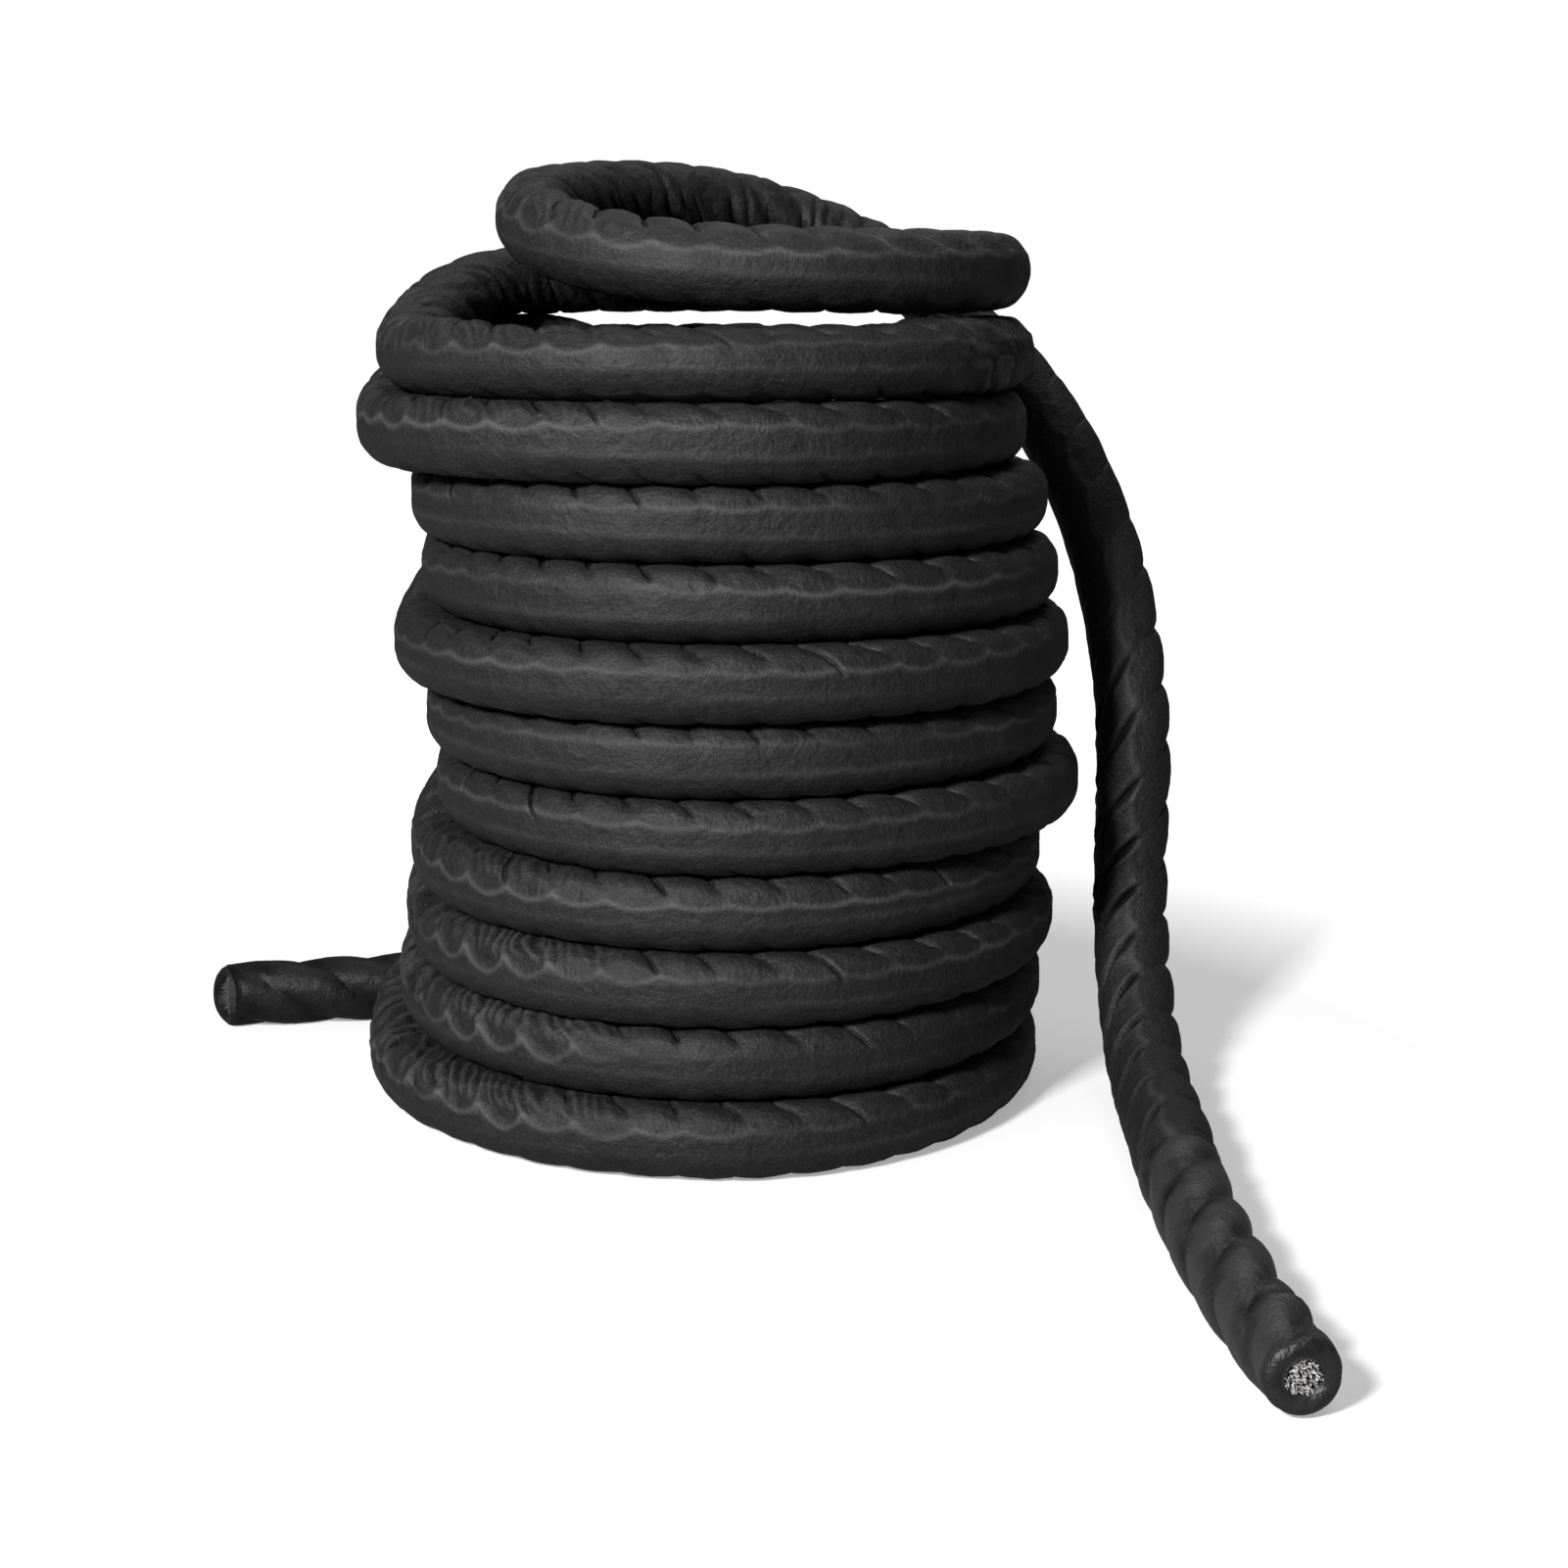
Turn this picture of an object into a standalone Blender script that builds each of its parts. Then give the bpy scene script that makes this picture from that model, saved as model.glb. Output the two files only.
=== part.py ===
"""Battle rope: a three-strand rope in a woven sleeve, standing as a coil, with a shrunk handle on each end.

Metres, +Z up. The floor is z = 0 and the camera side is -Y.
"""

import math

import bmesh
import bpy
import numpy as np

# Rope section
SLEEVE_D = 0.038
SLEEVE_WALL = 0.0016
FIT_GAP = 0.0003
JOINT_GAP = 0.0005

# Coil: it winds clockwise seen from above, from the floor up
TURN_PITCH = 0.0355
COIL_RADIUS = 0.148
COIL_X = 0.02632
COIL_Y = 0.11004
START_AZIMUTH = 110.0
CLIMB_START_SHARE = 0.762
CLIMB_END_SHARE = 0.922
CLIMB_PRESS_SHARE = 0.06
RINGS_PER_TURN = 18

# Turns at the coil's two ends that its free routes share with it, counted from each end
JOIN_TURN_SHARES = (0.10, 0.05, 0.0)
LEAD_TURN_SHARES = (0.0, 0.04, 0.08, 0.12)

# Reach of each turn on four sides as shares of COIL_RADIUS, bottom turn first
RIGHT_SHARES = (0.97, 0.98, 1.02, 0.97, 1.10, 1.02, 1.05, 1.01, 0.97, 0.89, 0.91)
LEFT_SHARES = (1.14, 1.02, 0.99, 0.97, 0.87, 0.90, 1.00, 0.90, 0.93, 1.10, 1.03)
FRONT_SHARES = (1.05, 1.00, 1.01, 0.98, 0.98, 0.97, 1.02, 0.96, 0.95, 0.99, 0.97)
BACK_SHARES = (1.00, 1.02, 0.98, 1.01, 0.96, 0.99, 1.03, 0.97, 1.00, 0.98, 0.97)

# Free end, from the coil's last turn to the cut end of the front handle, measured from the coil's axis
FREE_POINTS = (
    (-0.0100, 0.1390, 0.4085), (0.0380, 0.1260, 0.4095), (0.0820, 0.0940, 0.4105),
    (0.1170, 0.0490, 0.4115), (0.1320, -0.0030, 0.4118), (0.1180, -0.0560, 0.4115),
    (0.0800, -0.0960, 0.4112), (0.0300, -0.1140, 0.4115), (-0.0220, -0.1100, 0.4150),
    (-0.0650, -0.0830, 0.4230), (-0.0880, -0.0370, 0.4335), (-0.0900, 0.0130, 0.4425),
    (-0.0750, 0.0630, 0.4485), (-0.0440, 0.1080, 0.4510), (-0.0040, 0.1380, 0.4485),
    (0.0400, 0.1560, 0.4370), (0.0870, 0.1580, 0.4170), (0.1320, 0.1400, 0.3830),
    (0.1680, 0.1100, 0.3420), (0.1910, 0.0800, 0.2990), (0.2050, 0.0530, 0.2520),
    (0.2120, 0.0290, 0.2020), (0.2135, 0.0150, 0.1650), (0.2135, 0.0140, 0.1400),
    (0.2135, 0.0140, 0.1150), (0.2132, 0.0065, 0.0860), (0.2127, -0.0140, 0.0570),
    (0.2121, -0.0420, 0.0355), (0.2112, -0.0780, 0.0225), (0.2098, -0.1200, 0.0192),
    (0.2080, -0.1650, 0.0191), (0.2065, -0.2100, 0.0191), (0.2062, -0.2550, 0.0185),
    (0.2080, -0.3000, 0.0181), (0.2120, -0.3450, 0.0177), (0.2192, -0.3960, 0.0172),
)
TOP_TURN_POINTS = 15
SWING_POINT = 23

# Back end, from the cut end of the back handle to the coil's first turn, measured from the coil's axis
BACK_POINTS = (
    (-0.2860, 0.0660, 0.0170), (-0.2370, 0.0733, 0.0171), (-0.1880, 0.0835, 0.0173),
    (-0.1410, 0.0995, 0.0175), (-0.0950, 0.1200, 0.0176),
)

# Handle
HANDLE_LENGTH = 0.215
SHRINK_WALL = 0.0012
LOBE_DEPTH = 0.0009
LIP_OPENING_D = 0.019
MOUTH_TUCK = 0.018
CUFF_FREE = 0.045
CUFF_FLARE = 0.022
PRESS_START = 0.070
PRESS_END = 0.130

# Strands of the laid rope
STRAND_D = 0.012
STRAND_LAY = 0.117
STRAND_COUNT = 3
STRAND_SIDES = 6

# Tape that binds the strands before they are cut
TAPE_WALL = 0.0005
TAPE_LENGTH = 0.028
TAPE_INSET = 0.006

# Links, where a body turns on the rounded end of the next core
BALL_D = 0.025
NECK_SHARE = 0.92
NECK_RUN = 0.016
BALL_CLOSING_ANGLE = 170.0
BALL_STEPS = 5
SWING_LINK_HALF = 0.0055
LIFT_LINK_HALF = 0.0070

# Facets
ROUND_SIDES = 18
HANDLE_RINGS = 20
CURVE_BEVEL_RESOLUTION = 4
CURVE_STEP = 0.030
CURVE_END_STEP = 0.004
SAMPLES_PER_SPAN = 24
SHARP_EDGE_ANGLE = 40.0

SLEEVE_RADIUS = SLEEVE_D / 2
SEAT_HEIGHT = (TURN_PITCH - FIT_GAP) / 2
CORE_RADIUS = SLEEVE_RADIUS - SLEEVE_WALL - FIT_GAP
FACET_FIT = 1 / math.cos(math.pi / ROUND_SIDES)
TURNS = len(RIGHT_SHARES)
MEAN_TURN_LENGTH = 2 * math.pi * COIL_RADIUS
PIVOT_REACH = HANDLE_LENGTH + CUFF_FREE


def clear_scene():
    for item in list(bpy.data.objects):
        bpy.data.objects.remove(item, do_unlink=True)


def finish_material(name, colour, roughness, metallic=0.0):
    material = bpy.data.materials.new(name)
    material.use_nodes = True
    shader = material.node_tree.nodes["Principled BSDF"]
    shader.inputs["Base Color"].default_value = (*colour, 1.0)
    shader.inputs["Roughness"].default_value = roughness
    shader.inputs["Metallic"].default_value = metallic
    material.diffuse_color = (*colour, 1.0)
    return material


def smooth_step(value):
    value = min(max(value, 0.0), 1.0)
    return value * value * (3 - 2 * value)


def climb_at(turn):
    """Share of the pitch that the rope has climbed within its turn."""
    return smooth_step((turn - math.floor(turn) - CLIMB_START_SHARE) / (CLIMB_END_SHARE - CLIMB_START_SHARE))


def coil_point(turn):
    """Centre of the rope after so many turns of the coil."""
    azimuth = math.radians(START_AZIMUTH - 360 * turn)
    side_shares = RIGHT_SHARES if math.cos(azimuth) > 0 else LEFT_SHARES
    end_shares = FRONT_SHARES if math.sin(azimuth) < 0 else BACK_SHARES
    side_row = min(max(math.floor(turn - (START_AZIMUTH - 90) / 360), 0), TURNS - 1)
    end_row = min(max(math.floor(turn - START_AZIMUTH / 360 + 0.5), 0), TURNS - 1)
    reach = math.hypot(math.cos(azimuth) / side_shares[side_row], math.sin(azimuth) / end_shares[end_row])
    return np.array((
        COIL_X + COIL_RADIUS / reach * math.cos(azimuth),
        COIL_Y + COIL_RADIUS / reach * math.sin(azimuth),
        SEAT_HEIGHT + TURN_PITCH * (math.floor(turn) + climb_at(turn)),
    ))


def from_coil_axis(points):
    return [np.array(point) + (COIL_X, COIL_Y, 0) for point in points]


class Route:
    """A smooth curve through points, read by the distance along it."""

    def __init__(self, points):
        points = np.array(points)
        knots = np.concatenate(([0], np.cumsum(np.linalg.norm(np.diff(points, axis=0), axis=1))))
        spans = np.diff(knots)
        count = len(points)
        matrix = np.eye(count)
        target = np.zeros((count, 3))
        for row in range(1, count - 1):
            before, after = spans[row - 1], spans[row]
            slope_before = (points[row] - points[row - 1]) / before
            slope_after = (points[row + 1] - points[row]) / after
            matrix[row, row - 1:row + 2] = before, 2 * (before + after), after
            target[row] = 6 * (slope_after - slope_before)
        bends = np.linalg.solve(matrix, target)
        places = []
        for row in range(count - 1):
            for step in range(SAMPLES_PER_SPAN):
                b = step / SAMPLES_PER_SPAN
                a = 1 - b
                sag = ((a ** 3 - a) * bends[row] + (b ** 3 - b) * bends[row + 1]) * spans[row] ** 2 / 6
                places.append(a * points[row] + b * points[row + 1] + sag)
        places.append(points[-1])
        self.places = np.array(places)
        steps = np.linalg.norm(np.diff(self.places, axis=0), axis=1)
        self.lengths = np.concatenate(([0], np.cumsum(steps)))
        self.headings = np.gradient(self.places, self.lengths, axis=0)
        self.length = self.lengths[-1]

    def mark(self, point):
        """Distance to one of the points that the curve was made from."""
        return self.lengths[point * SAMPLES_PER_SPAN]

    def at(self, distance):
        return np.array([np.interp(distance, self.lengths, axis) for axis in self.places.T])

    def heading(self, distance):
        heading = np.array([np.interp(distance, self.lengths, axis) for axis in self.headings.T])
        return heading / np.linalg.norm(heading)


def level_frame(centre, heading):
    """Centre, side, up and heading, right-handed, with the side level."""
    side = np.cross((0.0, 0.0, 1.0), heading)
    side /= np.linalg.norm(side)
    return centre, side, np.cross(heading, side), heading


def coil_frame(turn):
    """Frame of the coil whose section stands upright, and is pressed flatter where the turns climb."""
    step = 1 / (RINGS_PER_TURN * SAMPLES_PER_SPAN)
    heading = coil_point(turn + step) - coil_point(turn - step)
    heading[2] = 0
    centre, side, up, heading = level_frame(coil_point(turn), heading / np.linalg.norm(heading))
    climb = climb_at(turn)
    return centre, side, up * (1 - 4 * CLIMB_PRESS_SHARE * climb * (1 - climb)), heading


def round_section(radius):
    angles = [2 * math.pi * (side + 0.5) / ROUND_SIDES for side in range(ROUND_SIDES)]
    return [(radius * math.cos(angle), radius * math.sin(angle)) for angle in angles]


def flat_section(half_width, half_height):
    """Eight sides, flat at the top, the bottom and both sides."""
    corner = math.tan(math.pi / 8)
    quarter = [(1, corner), (corner, 1), (-corner, 1), (-1, corner)]
    shares = quarter + [(-across, -rise) for across, rise in quarter]
    return [(across * half_width, rise * half_height) for across, rise in shares]


def lobed_section(valley_radius, phase):
    """Round section that swells over each strand."""
    points = []
    for side in range(ROUND_SIDES):
        angle = 2 * math.pi * (side + 0.5) / ROUND_SIDES
        swell = (1 + math.cos(STRAND_COUNT * (angle - phase))) / 2
        radius = valley_radius + LOBE_DEPTH * swell
        points.append((radius * math.cos(angle), radius * math.sin(angle)))
    return points


def place_ring(frame, section):
    centre, side, up, _ = frame
    return [centre + side * across + up * rise for across, rise in section]


def add_object(name, data, material):
    part = bpy.data.objects.new(name, data)
    bpy.context.scene.collection.objects.link(part)
    data.materials.append(material)
    return part


def bridge(shape, row, after):
    """Triangles between two rings, their diagonals all one way, so that nested walls stay parallel."""
    for here in range(len(row)):
        there = (here + 1) % len(row)
        shape.faces.new((row[here], row[there], after[there]))
        shape.faces.new((row[here], after[there], after[here]))


def close_shape(name, shape, material):
    bmesh.ops.recalc_face_normals(shape, faces=shape.faces)
    mesh = bpy.data.meshes.new(name)
    shape.to_mesh(mesh)
    shape.free()
    mesh.shade_smooth()
    mesh.set_sharp_from_angle(angle=math.radians(SHARP_EDGE_ANGLE))
    return add_object(name, mesh, material)


def solid_skin(name, rings, material):
    """Solid through rings of equal size, capped at both ends."""
    shape = bmesh.new()
    rows = [[shape.verts.new(point) for point in ring] for ring in rings]
    for row, after in zip(rows, rows[1:]):
        bridge(shape, row, after)
    shape.faces.new(rows[0])
    shape.faces.new(rows[-1])
    return close_shape(name, shape, material)


def hollow_skin(name, outer_rings, inner_rings, material):
    """Tube wall between two runs of rings, joined to each other at both ends."""
    shape = bmesh.new()
    outer = [[shape.verts.new(point) for point in ring] for ring in outer_rings]
    inner = [[shape.verts.new(point) for point in ring] for ring in inner_rings]
    for rows in (outer, inner):
        for row, after in zip(rows, rows[1:]):
            bridge(shape, row, after)
    bridge(shape, outer[0], inner[0])
    bridge(shape, outer[-1], inner[-1])
    return close_shape(name, shape, material)


def even_stations(start, end):
    """Distances for a curve's points, with a close pair at each end so that its faces stand square."""
    count = max(round((end - start) / CURVE_STEP), 2)
    even = [start + (end - start) * step / count for step in range(1, count)]
    return [start, start + CURVE_END_STEP] + even + [end - CURVE_END_STEP, end]


def curve_tube(name, route, stations, radius, material):
    """Round tube on a curve object, through (distance, radius share) stations."""
    curve = bpy.data.curves.new(name, "CURVE")
    curve.dimensions = "3D"
    curve.bevel_depth = radius
    curve.bevel_resolution = CURVE_BEVEL_RESOLUTION
    curve.use_fill_caps = True
    spline = curve.splines.new("POLY")
    spline.points.add(len(stations) - 1)
    for point, (distance, share) in zip(spline.points, stations):
        point.co = (*route.at(distance), 1)
        point.radius = share
    spline.use_smooth = True
    return add_object(name, curve, material)


def curve_sleeve(name, route, stations, material):
    """The sleeve as a hollow tube on a curve object."""
    part = curve_tube(name, route, stations, SLEEVE_RADIUS, material)
    part.data.use_fill_caps = False
    wall = part.modifiers.new("Wall", "SOLIDIFY")
    wall.thickness = SLEEVE_WALL
    wall.offset = -1
    wall.use_even_offset = True
    return part


def ball_stations(pivot, outward):
    """Neck and ball that end a core at a pivot, as (distance, radius) pairs."""
    ball = BALL_D / 2
    neck = ball * NECK_SHARE
    stations = [(pivot - outward * (ball + NECK_RUN), CORE_RADIUS), (pivot - outward * ball, neck)]
    first = math.asin(neck / ball)
    last = math.radians(BALL_CLOSING_ANGLE)
    for step in range(BALL_STEPS + 1):
        angle = first + (last - first) * step / BALL_STEPS
        stations.append((pivot - outward * ball * math.cos(angle), ball * math.sin(angle)))
    return stations


def build_coil(pivot_turn, sleeve_material, core_material):
    """The standing turns: one woven sleeve and the laid core inside it."""
    ball = [(pivot_turn - distance / MEAN_TURN_LENGTH, radius) for distance, radius in ball_stations(0, 1)]
    ball.reverse()
    even_start = ball[-1][0]
    steps = range(math.ceil(even_start * RINGS_PER_TURN + 0.5), TURNS * RINGS_PER_TURN)
    even = [even_start] + [step / RINGS_PER_TURN for step in steps] + [TURNS - FIT_GAP / MEAN_TURN_LENGTH]
    even = [coil_frame(turn) for turn in even]
    sleeve_frames = [coil_frame(pivot_turn + SWING_LINK_HALF / MEAN_TURN_LENGTH)] + even
    outer = flat_section(SLEEVE_RADIUS, SEAT_HEIGHT)
    inner = flat_section(SLEEVE_RADIUS - SLEEVE_WALL, SEAT_HEIGHT - SLEEVE_WALL)
    hollow_skin("coil_sleeve", [place_ring(frame, outer) for frame in sleeve_frames],
                [place_ring(frame, inner) for frame in sleeve_frames], sleeve_material)

    core_height = SEAT_HEIGHT - SLEEVE_WALL - FIT_GAP
    rings = [place_ring(coil_frame(turn), flat_section(radius, min(radius, core_height)))
             for turn, radius in ball[:-1]]
    rings += [place_ring(frame, flat_section(CORE_RADIUS, core_height)) for frame in even]
    solid_skin("coil_core", rings, core_material)


def build_top_turn(route, start, end, sleeve_material, core_material):
    """The last turn, which lies tilted on the coil, up to where the rope drops away."""
    count = round((end - start) / CURVE_STEP)
    frames = [coil_frame(TURNS)]
    for step in range(1, count + 1):
        distance = start + (end - start) * step / count
        frames.append(level_frame(route.at(distance), route.heading(distance)))
    inset = SLEEVE_WALL
    outer = flat_section(SLEEVE_RADIUS, SEAT_HEIGHT)
    inner = flat_section(SLEEVE_RADIUS - inset, SEAT_HEIGHT - inset)
    hollow_skin("top_turn_sleeve", [place_ring(frame, outer) for frame in frames],
                [place_ring(frame, inner) for frame in frames], sleeve_material)
    inset += FIT_GAP
    core = flat_section(SLEEVE_RADIUS - inset, SEAT_HEIGHT - inset)
    solid_skin("top_turn_core", [place_ring(frame, core) for frame in frames], core_material)


def build_hanging_tail(route, start, end, sleeve_material, core_material):
    """The stretch that drops beside the coil, down to where the tail swings."""
    stations = [(distance, 1) for distance in even_stations(start, end)]
    curve_sleeve("hanging_tail_sleeve", route, stations, sleeve_material)
    curve_tube("hanging_tail_core", route, stations, CORE_RADIUS, core_material)


def build_floor_tail(route, start, pivot, sleeve_material, core_material):
    """The stretch that lands on the floor and runs up to the handle's pivot."""
    ball = [(distance, radius / CORE_RADIUS) for distance, radius in ball_stations(pivot, 1)]
    stations = [(distance, 1) for distance in even_stations(start, ball[0][0])]
    curve_sleeve("floor_tail_sleeve", route, stations + [(pivot - LIFT_LINK_HALF, 1)], sleeve_material)
    curve_tube("floor_tail_core", route, stations + ball[1:], CORE_RADIUS, core_material)


def build_handle(name, frame_at, link_half, materials, seat_height=None):
    """One handle; frame_at gives the frame at a distance from the cut end, heading to the cut end.

    Where turns lie on its rope end, that end is flattened to seat_height above and below its middle.
    """
    strand_radius = STRAND_D / 2
    lay_ratio = STRAND_LAY / (2 * math.pi)
    spacing = STRAND_D + FIT_GAP
    helix_radius = spacing / math.sqrt(3)
    slope = helix_radius / (2 * lay_ratio)
    helix_radius *= math.sqrt(1 + slope ** 2)
    bundle_radius = helix_radius + strand_radius
    tape_inner = (bundle_radius + FIT_GAP) * FACET_FIT
    tape_outer = tape_inner + TAPE_WALL
    shrink_inner = (tape_outer + FIT_GAP) * FACET_FIT
    cuff_inner = tape_inner
    cuff_outer = cuff_inner + SLEEVE_WALL
    mouth_inner = max((cuff_outer + FIT_GAP) * FACET_FIT, shrink_inner)
    thickest = max(SLEEVE_RADIUS, mouth_inner + LOBE_DEPTH + SHRINK_WALL)
    pressed_share = seat_height / thickest if seat_height else 1

    def phase_at(distance):
        return -distance / lay_ratio

    def frame_pressed(distance):
        centre, side, up, heading = frame_at(distance)
        press = smooth_step((distance - PRESS_START) / (PRESS_END - PRESS_START))
        return centre, side, up * (1 - (1 - pressed_share) * press), heading

    def ring_at(distance, section):
        return place_ring(frame_pressed(distance), section)

    def shrink_ring(distance, grow):
        flare = smooth_step((distance - HANDLE_LENGTH + 2 * MOUTH_TUCK) / MOUTH_TUCK)
        valley = shrink_inner + (mouth_inner - shrink_inner) * flare
        return ring_at(distance, lobed_section(valley + grow, phase_at(distance)))

    tuck_start = HANDLE_LENGTH - MOUTH_TUCK
    shrink_run = HANDLE_LENGTH - SHRINK_WALL
    spread = [SHRINK_WALL + shrink_run * step / HANDLE_RINGS for step in range(HANDLE_RINGS + 1)]
    lip_section = round_section(LIP_OPENING_D / 2)
    outer = [ring_at(0, lip_section)]
    outer += [shrink_ring(distance, SHRINK_WALL) for distance in [0] + spread]
    inner = [ring_at(SHRINK_WALL, lip_section)]
    inner += [shrink_ring(distance, 0) for distance in spread]
    hollow_skin(f"{name}_shrink", outer, inner, materials["shrink"])

    cuff_stations = [
        (tuck_start, cuff_outer), (HANDLE_LENGTH + FIT_GAP, cuff_outer),
        (HANDLE_LENGTH + CUFF_FLARE, SLEEVE_RADIUS), (PIVOT_REACH - link_half, SLEEVE_RADIUS),
    ]
    outer = [ring_at(distance, round_section(radius)) for distance, radius in cuff_stations]
    inner = [ring_at(distance, round_section(radius - SLEEVE_WALL)) for distance, radius in cuff_stations]
    hollow_skin(f"{name}_sleeve_cuff", outer, inner, materials["sleeve"])

    strand_start = SHRINK_WALL + FIT_GAP
    strand_end = PIVOT_REACH - BALL_D / 2 - FIT_GAP
    tilt = math.atan(helix_radius / lay_ratio)
    for strand in range(STRAND_COUNT):
        rings = []
        for step in range(HANDLE_RINGS + 1):
            distance = strand_start + (strand_end - strand_start) * step / HANDLE_RINGS
            angle = phase_at(distance) + 2 * math.pi * strand / STRAND_COUNT
            centre, side, up, heading = frame_pressed(distance)
            outward = side * math.cos(angle) + up * math.sin(angle)
            around = up * math.cos(angle) - side * math.sin(angle)
            lean = 0 if step in (0, HANDLE_RINGS) else tilt
            across = around * math.cos(lean) - heading * math.sin(lean)
            section = [2 * math.pi * (side_step + 0.5) / STRAND_SIDES for side_step in range(STRAND_SIDES)]
            rings.append([centre + outward * (helix_radius + strand_radius * math.cos(turn))
                          + across * strand_radius * math.sin(turn) for turn in section])
        solid_skin(f"{name}_strand_{strand + 1}", rings, materials["strand"])

    tape_ends = [TAPE_INSET, TAPE_INSET + TAPE_LENGTH]
    outer = [ring_at(distance, round_section(tape_outer)) for distance in tape_ends]
    inner = [ring_at(distance, round_section(tape_inner)) for distance in tape_ends]
    hollow_skin(f"{name}_end_tape", outer, inner, materials["tape"])


def build_front_handle(route, materials):
    def frame_at(distance):
        return level_frame(route.at(route.length - distance), route.heading(route.length - distance))

    build_handle("front", frame_at, LIFT_LINK_HALF, materials)


def build_back_handle(route, materials):
    def frame_at(distance):
        return level_frame(route.at(distance), -route.heading(distance))

    build_handle("back", frame_at, SWING_LINK_HALF, materials, SEAT_HEIGHT)


def build():
    clear_scene()
    materials = {
        "sleeve": finish_material("sleeve_cloth", (0.020, 0.020, 0.021), 0.85),
        "core": finish_material("core_fibre", (0.110, 0.110, 0.115), 0.80),
        "strand": finish_material("strand_fibre", (0.130, 0.130, 0.135), 0.75),
        "shrink": finish_material("shrink_tube", (0.012, 0.012, 0.013), 0.35),
        "tape": finish_material("binding_tape", (0.030, 0.030, 0.032), 0.55),
    }

    free = Route([coil_point(TURNS - share) for share in JOIN_TURN_SHARES] + from_coil_axis(FREE_POINTS))
    first_free = len(JOIN_TURN_SHARES)
    top_start = free.mark(first_free - 1)
    top_end = free.mark(first_free + TOP_TURN_POINTS)
    swing = free.mark(first_free + SWING_POINT)
    lift_pivot = free.length - PIVOT_REACH

    back = Route(from_coil_axis(BACK_POINTS) + [coil_point(turn) for turn in LEAD_TURN_SHARES])
    pivot_turn = (PIVOT_REACH - back.mark(len(BACK_POINTS))) / MEAN_TURN_LENGTH

    build_coil(pivot_turn, materials["sleeve"], materials["core"])
    build_top_turn(free, top_start, top_end, materials["sleeve"], materials["core"])
    build_hanging_tail(free, top_end + JOINT_GAP, swing, materials["sleeve"], materials["core"])
    build_floor_tail(free, swing + FIT_GAP, lift_pivot, materials["sleeve"], materials["core"])
    build_front_handle(free, materials)
    build_back_handle(back, materials)


build()
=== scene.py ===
import math

import bpy
import numpy as np
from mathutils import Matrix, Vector


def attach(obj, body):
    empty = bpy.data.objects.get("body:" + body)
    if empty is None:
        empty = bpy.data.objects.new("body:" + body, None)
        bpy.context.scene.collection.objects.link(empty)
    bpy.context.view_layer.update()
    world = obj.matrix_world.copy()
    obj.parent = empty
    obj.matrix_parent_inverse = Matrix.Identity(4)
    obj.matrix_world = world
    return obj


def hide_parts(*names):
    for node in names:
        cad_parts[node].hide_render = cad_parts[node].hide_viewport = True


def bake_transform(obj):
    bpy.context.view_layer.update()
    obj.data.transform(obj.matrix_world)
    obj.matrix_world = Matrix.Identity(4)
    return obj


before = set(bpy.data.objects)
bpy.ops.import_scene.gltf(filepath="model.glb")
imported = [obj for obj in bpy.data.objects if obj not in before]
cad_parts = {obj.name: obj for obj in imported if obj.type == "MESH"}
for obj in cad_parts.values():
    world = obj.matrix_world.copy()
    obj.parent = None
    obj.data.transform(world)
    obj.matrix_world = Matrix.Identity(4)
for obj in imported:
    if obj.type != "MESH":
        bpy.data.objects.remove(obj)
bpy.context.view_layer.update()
print("CAD frame loaded:", len(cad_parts), "nodes")

# Where the rope lies: metres, the same driving values as the CAD route
rope = {
    "radius": 0.019,
    "seatHeight": 0.0176,
    "pitch": 0.0355,
    "coilRadius": 0.148,
    "coilX": 0.02632,
    "coilY": 0.11004,
    "startAzimuth": 110.0,
    "climbStart": 0.762,
    "climbEnd": 0.922,
    "rightShares": (0.97, 0.98, 1.02, 0.97, 1.10, 1.02, 1.05, 1.01, 0.97, 0.89, 0.91),
    "leftShares": (1.14, 1.02, 0.99, 0.97, 0.87, 0.90, 1.00, 0.90, 0.93, 1.10, 1.03),
    "frontShares": (1.05, 1.00, 1.01, 0.98, 0.98, 0.97, 1.02, 0.96, 0.95, 0.99, 0.97),
    "backShares": (1.00, 1.02, 0.98, 1.01, 0.96, 0.99, 1.03, 0.97, 1.00, 0.98, 0.97),
    "joinTurns": (0.10, 0.05, 0.0),
    "leadTurns": (0.0, 0.04, 0.08, 0.12),
    "topTurnPoints": 15,
    "swingPoint": 23,
    "routeSamples": 24,  # between two of its points
    "coilStep": 0.0025,  # in turns
    "sampleStep": 0.001,  # spacing of the centreline's samples
    "cornerRun": 0.012,  # corners are smoothed over this length
    "twistStart": 0.05,  # before the drop, from where the rope isn't kept level
}
turnCount = len(rope["rightShares"])

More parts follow.
